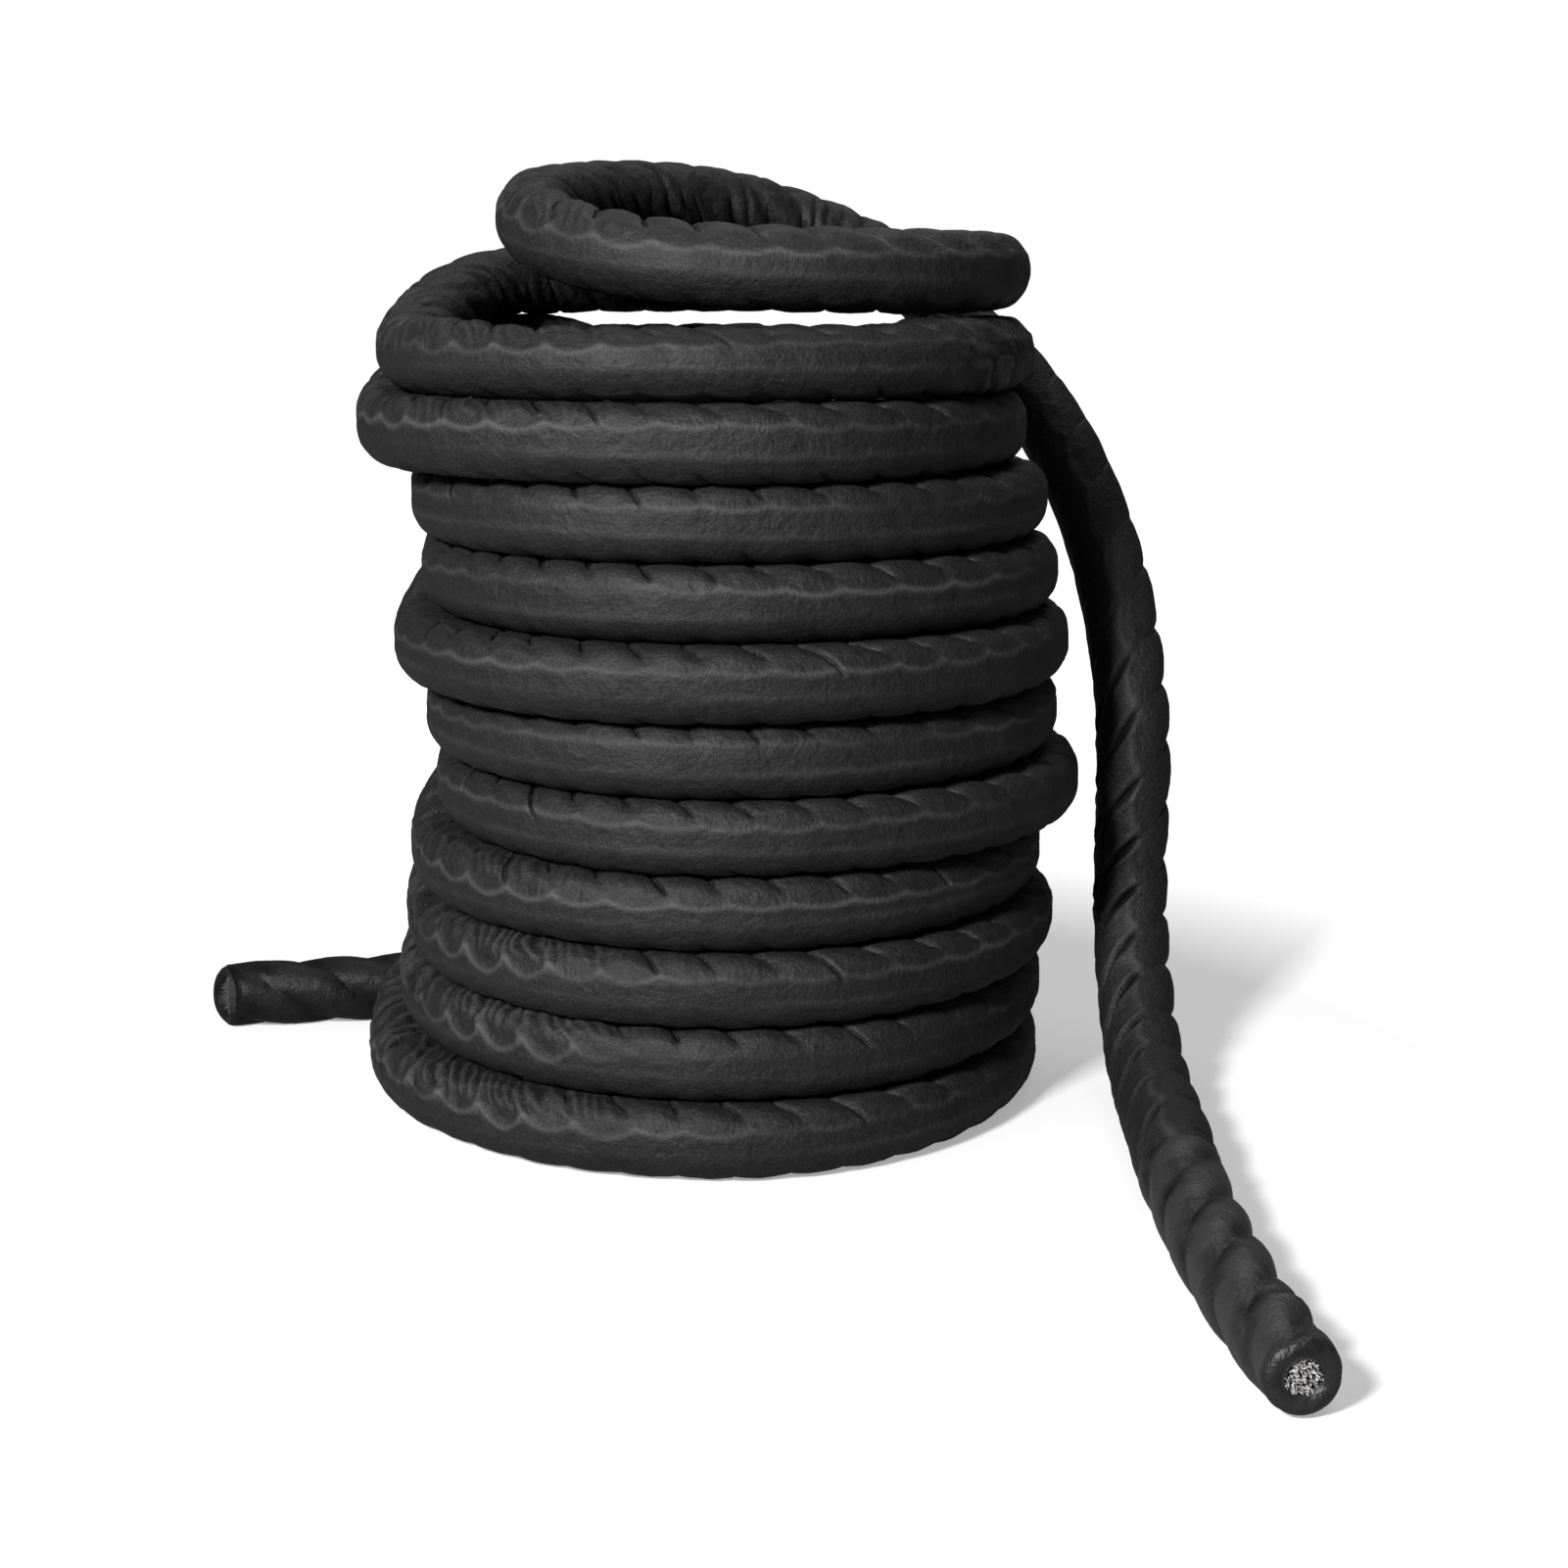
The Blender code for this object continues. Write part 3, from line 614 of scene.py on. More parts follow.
def tailFolds(distance, angle, count, foldAngle):
    # a slanting crease on one side of each tile, and a notched edge on the other
    spacing = lineAt(layLine, distance)[:, None] / sleeve["strands"]
    height = lineAt(centreline, distance)[:, 2][:, None]
    along = distance[:, None]
    left = np.cos(angle - foldAngle)
    right = zone(-left, *tailFold["right"])
    lobe = pleated((count - np.floor(count)) ** tailFold["lobeLean"], tailFold["lobeFullness"])
    lobeShare = between(zone(height, *tailFold["lobeHeight"]), *tailFold["lobeShares"])
    rise = (tailFold["plainRise"] + tailFold["rise"] * right * lobeShare) * (lobe - tailFold["lobeLevel"])
    index = np.round(count)
    across = (count - index) * spacing * tailFold["creaseSlant"]
    creasedAndShaded = zone(left, *tailFold["left"]) * between(chanceOf(index, 41), *tailFold["creaseShares"])
    creasedAndShaded = creasedAndShaded * (1 - tailFold["edgeFade"] * zone(left, *tailFold["edgeRun"]))
    creasedAndShaded = creasedAndShaded * zone(height, *tailFold["creaseHeight"])
    crease = bell(across, tailFold["creaseWidth"]) * creasedAndShaded
    lipUp = bell(across - tailFold["lipPlace"], tailFold["lipWidth"]) * creasedAndShaded
    lipDown = bell(across + tailFold["lipPlace"], tailFold["lipWidth"]) * creasedAndShaded
    rise += tailFold["lipRise"] * (lipUp + lipDown) - tailFold["creaseDepth"] * crease
    # the fold where the flat sleeve was pressed runs down beside the creases
    stray = tailFold["foldStray"] * lineNoise(along / tailFold["foldStraySize"], 43)
    swing = tailFold["foldSwing"] * (pleated(count + tailFold["foldLead"], 1) - 0.5)
    foldPlace = tailFold["foldPlace"] + stray + swing
    ridge = bell((left - foldPlace) * rope["radius"], tailFold["foldWidth"])
    change = tailFold["foldChange"] * lineNoise(along / tailFold["foldChangeSize"], 44)
    ridge = ridge * np.clip(tailFold["foldLevel"] + change, *tailFold["foldLimits"])
    arc = bell(across, tailFold["arcWidth"]) * right * between(chanceOf(index, 45), *tailFold["arcShares"])
    arc = arc * zone(height, *tailFold["arcHeight"])
    rise += tailFold["foldRise"] * ridge - tailFold["arcDepth"] * arc
    # tone: rub with painted highlight on the fold and lips, painted shade in creases and under arcs
    rubAndPaintedLight = (tailFold["foldRubAndHighlight"] * ridge + tailFold["lipRubsAndHighlights"][1] * lipDown + tailFold["lipRubsAndHighlights"][0] * lipUp
            - tailFold["creaseShade"] * crease - tailFold["arcShade"] * arc)
    # the third result adds painted shade along the right side's seams
    return rise, rubAndPaintedLight, creasedAndShaded + tailFold["rightSeamShade"] * right


def sleeveSurface(distance, angle):
    # rise of the cloth over its plain tube, its rub with painted highlight and shade, creases and strands, by
    # distance and angle
    s, a = np.meshgrid(distance, angle, indexing="ij")
    lays = lineAt(layCount, distance)[:, None]
    surface = (lineAt(centreline, distance)[:, None, :]
               + lineAt(sideLine, distance)[:, None, :] * (rope["radius"] * np.cos(a))[..., None]
               + lineAt(upLine, distance)[:, None, :] * (rope["radius"] * np.sin(a))[..., None])
    flatPoints = surface.reshape(-1, 3)

    def spaceNoise(size, seed):
        return latticeNoise(flatPoints, size, seed).reshape(s.shape)

    onTail = smoothStep((s - marks["dropStart"]) / sleeve["tailRun"])
    warp = sleeve["strandWaver"] * spaceNoise(sleeve["waverSize"], 3)
    toFront = np.array(tailFold["frontPoint"]) - lineAt(centreline, distance)
    foldAngle = (angleTowards(distance, toFront) + tailFold["foldTurn"])[:, None]
    slew = tailFold["slew"] * onTail * np.sin(a - foldAngle)
    count = sleeve["strands"] * (lays - (a + slew) / (2 * math.pi)) + warp
    rise, rubAndPaintedLight, creasedAndShaded = coilFolds(distance, a, count, lays, warp, spaceNoise)
    if onTail.max() > 0:
        tailRise, tailRubAndPaintedLight, tailCreasedAndShaded = tailFolds(distance, a, count, foldAngle)
        rise = rise + (tailRise - rise) * onTail
        rubAndPaintedLight = rubAndPaintedLight + (tailRubAndPaintedLight - rubAndPaintedLight) * onTail
        creasedAndShaded = creasedAndShaded + (tailCreasedAndShaded - creasedAndShaded) * onTail
    wrinkle = 1 - np.abs(spaceNoise(sleeve["wrinkleSize"], 9))
    rise += sleeve["wrinkleRise"] * (wrinkle ** 3 - sleeve["wrinkleLevel"])
    rise += sleeve["lumpRise"] * spaceNoise(sleeve["lumpSize"], 10)
    return rise, np.clip(rubAndPaintedLight, -1, 1), np.clip(creasedAndShaded, 0, 1), count


# Stretches of the coil with nothing on them or under them: degrees round the coil, heights in metres
openTurns = {
    "front": (-150, -125, -62, -45),
    "back": (36, 56, 120, 132),
    "topTurn": (0.355, 0.368, 0.378, 0.388),
    "loop": (0.398, 0.404, 0.425, 0.435),
}


def openSides(distance):
    # under the raised top loop the sleeve sags, front and back; the loop's own underside is drawn up
    places = lineAt(centreline, distance)
    around = np.degrees(np.arctan2(places[:, 1] - rope["coilY"], places[:, 0] - rope["coilX"]))
    front, back = band(around, *openTurns["front"]), band(around, *openTurns["back"])
    topTurn, loop = band(places[:, 2], *openTurns["topTurn"]), band(places[:, 2], *openTurns["loop"])
    return front * topTurn, back * topTurn, np.maximum(front, back) * loop


def newMesh(name, verts, faces):
    mesh = bpy.data.meshes.new(name)
    mesh.from_pydata(verts, [], faces)
    mesh.update()
    piece = bpy.data.objects.new(name, mesh)
    bpy.context.scene.collection.objects.link(piece)
    return piece


def addAttribute(piece, name, values):
    attribute = piece.data.attributes.new(name, "FLOAT", "POINT")
    attribute.data.foreach_set("value", np.asarray(values, np.float32))


def sleeveSection(distance, angle, rise):
    # the cloth's places across and up from the rope's line, pressed by the turns above and below
    seated = 1 - zone(distance - marks["coilEnd"], *sleeve["seatEnd"])
    halfHeight = rope["radius"] - (rope["radius"] - rope["seatHeight"]) * seated
    height = lineAt(centreline, distance)[:, 2]
    stacked = (seated * (1 - sleeve["looseShare"] * zone(height, *sleeve["looseHeight"])))[:, None]
    below = zone(-np.sin(angle), *sleeve["underRun"])
    square = sleeve["squareness"] + (sleeve["underSquareness"] - sleeve["squareness"]) * below
    power = 2 + (square - 2) * stacked
    frontOpen, backOpen, raised = openSides(distance)
    sag = (sleeve["frontSag"] * frontOpen + sleeve["backSag"] * backOpen)[:, None]
    sag = sag * zone(np.sin(angle), *sleeve["sagRun"])
    sag = sag + sleeve["raisedLift"] * raised[:, None] * zone(-np.sin(angle), *sleeve["sagRun"])
    contact = stacked * (1 - np.maximum(frontOpen, backOpen))[:, None]
    contact = contact * bell(np.abs(wrapped(angle)) - math.pi / 2, sleeve["contactReach"])
    rise = rise + (np.maximum(rise, sleeve["contactRise"]) - rise) * contact
    # the sleeve narrows to slip under each handle's mouth
    fromMouth = np.minimum(distance - shrinkTube["backLength"],
                           marks["length"] - shrinkTube["frontLength"] - distance)
    calm = smoothStep((fromMouth + sleeve["mouthLead"]) / sleeve["mouthRun"])[:, None]
    radius = ((np.abs(np.cos(angle)) / rope["radius"]) ** power
              + (np.abs(np.sin(angle)) / halfHeight[:, None]) ** power) ** (-1 / power)
    radius = radius * (sleeve["mouthShare"] + (1 - sleeve["mouthShare"]) * calm) + rise * calm - sag
    upward = radius * np.sin(angle)
    run = sleeve["cornerRun"]
    limit = rope["pitch"] / 2 + sleeve["turnOverlap"] - run
    over = np.abs(upward) - limit
    pressed = np.where(over > 0, limit + run * np.tanh(over / run), np.abs(upward))
    upward = np.sign(upward) * (seated[:, None] * pressed + (1 - seated[:, None]) * np.abs(upward))
    return radius * np.cos(angle), upward


def addSleeveMap(mesh, name, along, around, wrapStep):
    # a UV map from values at each ring and side; the last column of faces closes over the seam
    rings, sides = along.shape
    loops = np.zeros(len(mesh.loops), np.int64)
    mesh.loops.foreach_get("vertex_index", loops)
    ring, side = np.minimum(loops // sides, rings - 1), loops % sides
    uv = np.stack((along[ring, side], around[ring, side]), axis=-1)
    quads = uv[:(rings - 1) * sides * 4].reshape(-1, 4, 2)  # a view, so the seam is mended in uv itself
    quads[sides - 1::sides, 1:3] += wrapStep
    mesh.uv_layers.new(name=name).data.foreach_set("uv", uv.astype(np.float32).reshape(-1))


def makeSleevePiece(name, start, end, material):
    distance = np.linspace(start, end, max(round((end - start) / sleeve["ringStep"]), 8) + 1)
    step = distance[1] - distance[0]
    distance = np.concatenate(([start - step], distance, [end + step]))
    sides, rings = sleeve["sides"], len(distance)
    angle = np.arange(sides) * 2 * math.pi / sides
    if name.startswith("coil"):
        angle = angle - sleeve["showSide"] * np.sin(angle - sleeve["showAngle"])
    rise, rubAndPaintedLight, creasedAndShaded, count = sleeveSurface(distance, angle)
    rise[[0, -1]] -= sleeve["endSink"]
    across, upward = sleeveSection(distance, angle, rise)
    centre = lineAt(centreline, distance)
    side, up = lineAt(sideLine, distance), lineAt(upLine, distance)
    places = centre[:, None, :] + side[:, None, :] * across[..., None] + up[:, None, :] * upward[..., None]
    verts = np.concatenate((places.reshape(-1, 3), centre[:1], centre[-1:]))
    verts[:, 2] = np.maximum(verts[:, 2], 0.0)
    row = np.arange(rings - 1)[:, None] * sides
    column = np.arange(sides)[None, :]
    after = (column + 1) % sides
    quads = np.stack((row + column, row + after, row + sides + after, row + sides + column), axis=-1)
    first, top = rings * sides, (rings - 1) * sides
    caps = [(first, (k + 1) % sides, k) for k in range(sides)]
    caps += [(first + 1, top + k, top + (k + 1) % sides) for k in range(sides)]
    piece = newMesh(name, verts.tolist(), quads.reshape(-1, 4).tolist() + caps)
    piece.data.shade_smooth()
    # this attribute holds rub with painted highlight on ridges and painted shade in creases and hollows
    addAttribute(piece, "paintedLightAndWear", np.append(rubAndPaintedLight, (0, 0)))
    unit = sleeve["mapSize"]
    around = np.tile(angle * rope["radius"], (rings, 1))
    along = np.tile(distance[:, None], (1, sides))
    addSleeveMap(piece.data, "sleeve", along / unit, around / unit, (0, 2 * math.pi * rope["radius"] / unit))
    firstStrand = sleeve["strands"] * math.floor(count.mean() / sleeve["strands"])
    # the strands map also carries where the creases get painted shade
    addSleeveMap(piece.data, "strands", count - firstStrand, creasedAndShaded, (-sleeve["strands"], 0))
    piece.data.materials.append(material)
    return piece


def makeMaterial(name):
    material = bpy.data.materials.new(name)
    material.use_nodes = True
    return material, material.node_tree, material.node_tree.nodes["Principled BSDF"]


def setSockets(tree, node, sockets):
    # a socket takes a value, or another node's output, which is linked to it
    for name, value in sockets.items():
        if isinstance(value, bpy.types.NodeSocket):
            tree.links.new(value, node.inputs[name])
        else:
            node.inputs[name].default_value = value


def addNode(tree, kind, sockets=None, **settings):
    node = tree.nodes.new("ShaderNode" + kind)
    for name, value in settings.items():
        setattr(node, name, value)
    setSockets(tree, node, sockets or {})
    return node


def addNoise(tree, place, scale, detail, roughness=0.5):
    sockets = {"Vector": place, "Scale": scale, "Detail": detail, "Roughness": roughness}
    return addNode(tree, "TexNoise", sockets).outputs["Fac"]


def addMath(tree, operation, *values, clamp=False):
    node = addNode(tree, "Math", dict(enumerate(values)), operation=operation, use_clamp=clamp)
    return node.outputs["Value"]


def addRange(tree, value, start, end, shape="LINEAR"):
    # turns the range start, (low, high), into the range end
    sockets = {"Value": value, "From Min": start[0], "From Max": start[1], "To Min": end[0], "To Max": end[1]}
    return addNode(tree, "MapRange", sockets, interpolation_type=shape).outputs["Result"]


def addRamp(tree, factor, edges, dark, light):
    ramp = addNode(tree, "ValToRGB", {"Fac": factor})
    for element, position, colour in zip(ramp.color_ramp.elements, edges, (dark, light)):
        element.position = position
        element.color = colour
    return ramp.outputs["Color"]


def addColourMix(tree, factor, first, second):
    sockets = {"Factor": factor, "A": first, "B": second}
    return addNode(tree, "Mix", sockets, data_type="RGBA").outputs["Result"]


def addBump(tree, height, strength, distance):
    sockets = {"Height": height, "Strength": strength, "Distance": distance}
    return addNode(tree, "Bump", sockets).outputs["Normal"]


# Black woven sleeve: rub with painted highlight along its folds, painted shade in its creases; scales are
# features to a metre of rope
cloth = {
    "dark": (0.0048, 0.0048, 0.0051, 1),
    "light": (0.0185, 0.0185, 0.0193, 1),
    # pale grey for rub and painted highlight on ridges, lips and pleat tops
    "rubbedAndHighlit": (0.110, 0.108, 0.108, 1),
    # near black for painted shade in creases, seams between strands and hollows
    "creasedAndShaded": (0.0015, 0.0015, 0.0016, 1),
    "toneEdges": (0.38, 0.66),
    "gloss": 0.47,
    "roughness": (0.68, 0.56),
    "mottleScale": 55.0,
    "grainScale": 520.0,
    "grainShare": 0.66,
    "rubAndHighlightShare": 0.55,
    "hollowShade": -1.3,
    # width of the painted shade line between strands
    "seamWidth": (0.008, 0.058),  # in strands, from the line where two of them meet
    "threadScale": (4.0, 34.0, 1.0),  # along the rope and round it, for each 100 mm
    "weaveScale": 60.0,
    "crumpleScale": 150.0,
    "weaveHeight": 0.05,
    "crumpleHeight": 1.6,
    "threadHeight": 0.5,
    "seamHeight": -1.9,
    "bumpStrength": 0.80,
    "bumpDepth": 0.0008,
}


def makeSleeveCloth():
    material, tree, shader = makeMaterial("sleeveCloth")
    place = addNode(tree, "TexCoord").outputs["Object"]
    # the attribute: rub with painted highlight where above zero, painted shade where below
    paintedLightAndWear = addNode(tree, "Attribute", attribute_name="paintedLightAndWear").outputs["Fac"]
    mottle = addNoise(tree, place, cloth["mottleScale"], 5.0)
    grain = addNoise(tree, place, cloth["grainScale"], 3.0, 0.6)
    speckled = addNode(tree, "Mix", {"Factor": cloth["grainShare"], "A": mottle, "B": grain})
    tone = addRamp(tree, speckled.outputs["Result"], cloth["toneEdges"], cloth["dark"], cloth["light"])
    # lightened towards it by rub and painted highlight
    rubbedAndHighlit = addColourMix(tree, addMath(tree, "MULTIPLY", paintedLightAndWear, cloth["rubAndHighlightShare"]), tone, cloth["rubbedAndHighlit"])

    strands = addNode(tree, "UVMap", uv_map="strands").outputs["UV"]
    parts = addNode(tree, "SeparateXYZ", {"Vector": strands}).outputs
    # painted shade along the seams between strands where creases are, and in hollows
    toSeam = addMath(tree, "PINGPONG", parts["X"], 0.5)
    seamLine = addRange(tree, toSeam, cloth["seamWidth"], (1.0, 0.0), "SMOOTHSTEP")
    seam = addMath(tree, "MULTIPLY", seamLine, parts["Y"], clamp=True)
    hollow = addMath(tree, "MULTIPLY", paintedLightAndWear, cloth["hollowShade"], clamp=True)
    shaded = addColourMix(tree, addMath(tree, "MAXIMUM", seam, hollow), rubbedAndHighlit, cloth["creasedAndShaded"])

    lengthwise = addNode(tree, "UVMap", uv_map="sleeve").outputs["UV"]
    stretched = addNode(tree, "Mapping", {"Vector": lengthwise, "Scale": cloth["threadScale"]})
    threads = addNoise(tree, stretched.outputs["Vector"], 1.0, 4.0)
    weave = addNode(tree, "TexWave", {"Vector": lengthwise, "Scale": cloth["weaveScale"], "Distortion": 0.6},
                    bands_direction="DIAGONAL").outputs["Fac"]
    crumple = addNoise(tree, place, cloth["crumpleScale"], 4.0, 0.62)
    height = grain
    for pattern, share in ((weave, "weaveHeight"), (crumple, "crumpleHeight"), (threads, "threadHeight"),
                           (seam, "seamHeight")):
        height = addMath(tree, "MULTIPLY_ADD", pattern, cloth[share], height)
    setSockets(tree, shader, {
        "Base Color": shaded,
        "Roughness": addRange(tree, mottle, (0.25, 0.75), cloth["roughness"]),
        "Specular IOR Level": cloth["gloss"],
        "Normal": addBump(tree, height, cloth["bumpStrength"], cloth["bumpDepth"]),
    })
    return material


sleeveCloth = makeSleeveCloth()


def deselectAll():
    if bpy.context.object and bpy.context.object.mode != "OBJECT":
        bpy.ops.object.mode_set(mode="OBJECT")
    bpy.ops.object.select_all(action="DESELECT")


def applyModifiers(piece):
    deselectAll()
    piece.select_set(True)
    bpy.context.view_layer.objects.active = piece
    for modifier in list(piece.modifiers):
        bpy.ops.object.modifier_apply(modifier=modifier.name)


def meshPoints(piece):
    points = np.zeros(len(piece.data.vertices) * 3)
    piece.data.vertices.foreach_get("co", points)
    return points.reshape(-1, 3)


def setMeshPoints(piece, points):
    piece.data.vertices.foreach_set("co", points.reshape(-1))
    piece.data.update()


def turnedTube(name, profile, sides):
    # a round tube standing on the origin, drawn ring by ring from (height, radius) rows
    deselectAll()
    height, radius = profile[0]
    bpy.ops.mesh.primitive_circle_add(vertices=sides, radius=radius, fill_type="NOTHING",
                                      location=(0, 0, height))
    piece = bpy.context.object
    piece.name = piece.data.name = name
    bpy.ops.object.transform_apply(location=True, rotation=True, scale=True)
    bpy.ops.object.mode_set(mode="EDIT")
    bpy.ops.mesh.select_all(action="SELECT")
    for nextHeight, nextRadius in profile[1:]:
        bpy.ops.mesh.extrude_region_move(TRANSFORM_OT_translate={"value": (0, 0, nextHeight - height)})
        share = nextRadius / radius
        bpy.ops.transform.resize(value=(share, share, 1), center_override=(0, 0, nextHeight))
        height, radius = nextHeight, nextRadius
    bpy.ops.object.mode_set(mode="OBJECT")
    return piece


# The black shrink tube on each rope end: metres, distances from the cut end
shrinkTube = {
    "frontLength": 0.192,
    "backLength": 0.215,
    "radius": 0.0163,
    "mouthRadius": 0.0176,
    "mouthRun": 0.020,
    "frontEndShare": 0.86,  # the front end's strands were drawn together before they were cut
    "backEndShare": 0.98,
    "taper": 0.150,
    "taperLead": 0.01,
    "frontOpening": 0.0078,
    "backOpening": 0.0113,
    "wall": 0.0012,
    # the closed end: height, share of the rim out from the opening, and metres more
    "endProfile": ((0.0060, 0, -0.0001), (0.0044, 0, 0), (0.0026, 0.07, 0), (0.0010, 0.18, 0),
                   (0.0003, 0.32, 0), (0.0, 0.50, 0), (0.0002, 0.72, 0), (0.0010, 0.90, 0),
                   (0.0030, 1, -0.0001)),
    "mouthProfile": ((0.0005, -0.0004), (0.0004, -0.0010)),  # past the length, and inside the mouth's radius
    "bodyStart": 0.0055,
    "step": 0.0012,
    "sides": 96,
    "lobeRise": 0.0026,
    "lobeFullness": 0.8,
    "lobeLevel": 0.70,
    "lobeStart": (0.008, 0.014),  # radius from which the strands raise the plastic
    "calmEnd": 0.014,
    "calmMouth": (0.015, 0.003),  # before the mouth
    "mouthCalm": 0.55,
    "calmShares": (0.25, 1),
    "noiseRadius": 0.017,
    "lumpRise": 0.00045,
    "lumpSize": 0.016,
    "wrinkleRise": 0.00022,
    "wrinkleSize": 0.006,
    "pressRun": (0.070, 0.130),  # where the back handle goes under the turns
    "pressLobe": 0.4,
    "floorGap": 0.0002,
    "slitPlace": 0.0405,
    "slitSide": (0.72, -0.50, 0.55),
    "slitSpread": 0.75,
    "slitSlant": 0.004,
    "slitWidth": 0.0028,
    "slitDepth": 0.0050,
    "lipPlace": 0.0062,
    "lipWidth": 0.0026,
    "lipRise": 0.0020,
    # tone on the lip below the slit is painted highlight, in the slit painted shade
    "lipHighlight": 0.9,  # how the plastic's tone changes there
    "slitShade": -1.2,
    "crestLimits": (0, 1.4),
    "crestStart": 0.010,
    "slant": 0.0102,  # the back end was cut on the slant, its long side away from the coil's front
    "slantRun": 0.060,
    "slantMiddle": 0.0023,
    "slantUp": 0.0028,  # and its lower side
}


def handleRows(end, distance):
    # the rope's line under a handle, heading to the cut end
    along = marks["length"] - distance if end == "front" else distance
    sign = 1 if end == "front" else -1
    return (along, lineAt(centreline, along), lineAt(sideLine, along), lineAt(upLine, along),
            sign * lineAt(headingLine, along))


def onHandle(end, points, lobes):
    # bends a straight tube's points onto the rope's end; lobes raises the strands through it
    distance = points[:, 2]
    if end == "back":
        near = 1 - smoothStep(distance / shrinkTube["slantRun"])
        slant = (shrinkTube["slantMiddle"] - shrinkTube["slant"] * points[:, 0] / shrinkTube["radius"]
                 + shrinkTube["slantUp"] * points[:, 1] / shrinkTube["radius"])
        distance = distance + near * slant
    inside = np.clip(distance, 0, None)
    along, centre, side, up, heading = handleRows(end, inside)
    radius = np.hypot(points[:, 0], points[:, 1])
    angle = np.arctan2(points[:, 1], points[:, 0])
    radius = radius + lobes(end, distance, angle, along) * zone(radius, *shrinkTube["lobeStart"])
    share = 1.0
    if end == "back":
        crest = shrinkTube["radius"] + shrinkTube["lobeRise"] * shrinkTube["pressLobe"]
        share = 1 - (1 - min(rope["seatHeight"] / crest, 1)) * zone(distance, *shrinkTube["pressRun"])
    upward = radius * np.sin(angle) * share
    result = centre + side * (radius * np.cos(angle))[:, None] + up * upward[:, None]
    result += heading * (inside - distance)[:, None]
    result[:, 2] = np.maximum(result[:, 2], shrinkTube["floorGap"])
    return result


def strandCrest(angle, along):
    # 1 along the top of each strand under the tube, 0 in the grooves between them
    count = sleeve["strands"] * (lineAt(layCount, along) - angle / (2 * math.pi))
    return np.abs(np.cos(math.pi * count))


def slitAndLip(distance, angle, along):
    # where two strands part at the front end, on the side away from the key light
    turned = wrapped(angle - angleTowards(along, shrinkTube["slitSide"]))
    mask = bell(turned, shrinkTube["slitSpread"], 4)
    place = distance - shrinkTube["slitPlace"] - shrinkTube["slitSlant"] * turned
    return (mask * bell(place, shrinkTube["slitWidth"]),
            mask * bell(place + shrinkTube["lipPlace"], shrinkTube["lipWidth"]))


def strandLobes(end, distance, angle, along):
    crest = strandCrest(angle, along)
    toMouth = zone(shrinkTube[end + "Length"] - distance, *shrinkTube["calmMouth"])
    calm = smoothStep(distance / shrinkTube["calmEnd"]) * (1 - shrinkTube["mouthCalm"] * toMouth)
    lobe = crest ** shrinkTube["lobeFullness"] - shrinkTube["lobeLevel"]
    rise = shrinkTube["lobeRise"] * lobe * between(calm, *shrinkTube["calmShares"])
    around = shrinkTube["noiseRadius"] * np.stack((np.cos(angle), np.sin(angle)), axis=-1)
    spots = np.concatenate((along[:, None], around), axis=1)
    rise += shrinkTube["lumpRise"] * latticeNoise(spots, shrinkTube["lumpSize"], 31) * calm
    rise += shrinkTube["wrinkleRise"] * (1 - np.abs(latticeNoise(spots, shrinkTube["wrinkleSize"], 32)))
    if end == "front":
        slit, lip = slitAndLip(distance, angle, along)
        rise += shrinkTube["lipRise"] * lip - shrinkTube["slitDepth"] * slit
    return rise


def handleShare(end, distance):
    # how much of its full thickness the handle has at a distance from the cut end
    share = shrinkTube[end + "EndShare"]
    return share + (1 - share) * smoothStep((distance + shrinkTube["taperLead"]) / shrinkTube["taper"])


def makeShrinkTube(end, material):
    length, radius, mouth = shrinkTube[end + "Length"], shrinkTube["radius"], shrinkTube["mouthRadius"]
    opening, endRadius = shrinkTube[end + "Opening"], radius * shrinkTube[end + "EndShare"]
    rim, start = endRadius - opening, shrinkTube["bodyStart"]
    profile = [(height, opening + share * rim + more) for height, share, more in shrinkTube["endProfile"]]
    rows = int((length - start) / shrinkTube["step"])
    for row in range(rows + 1):
        height = start + (length - start) * row / rows
        flare = float(smoothStep((height - length + shrinkTube["mouthRun"]) / shrinkTube["mouthRun"] * 1.3))
        profile.append((height, radius * float(handleShare(end, height)) + (mouth - radius) * flare))
    profile += [(length + more, mouth + inset) for more, inset in shrinkTube["mouthProfile"]]
    piece = turnedTube(end + "ShrinkTube", profile, shrinkTube["sides"])
    wall = piece.modifiers.new("wall", "SOLIDIFY")
    wall.thickness = shrinkTube["wall"]
    wall.offset = -1
    piece.data.materials.append(material)
    applyModifiers(piece)
    straight = meshPoints(piece)
    angle = np.arctan2(straight[:, 1], straight[:, 0])
    along = handleRows(end, np.clip(straight[:, 2], 0, None))[0]
    crest = strandCrest(angle, along)
    if end == "front":
        slit, lip = slitAndLip(straight[:, 2], angle, along)
        # painted shade in the slit, painted highlight on the lip below it
        crest = crest * (1 - slit) + shrinkTube["lipHighlight"] * lip + shrinkTube["slitShade"] * slit
    crest = np.clip(crest, *shrinkTube["crestLimits"]) * smoothStep(straight[:, 2] / shrinkTube["crestStart"])
    addAttribute(piece, "crest", crest)
    setMeshPoints(piece, onHandle(end, straight, strandLobes))
    piece.data.shade_smooth()
    return piece


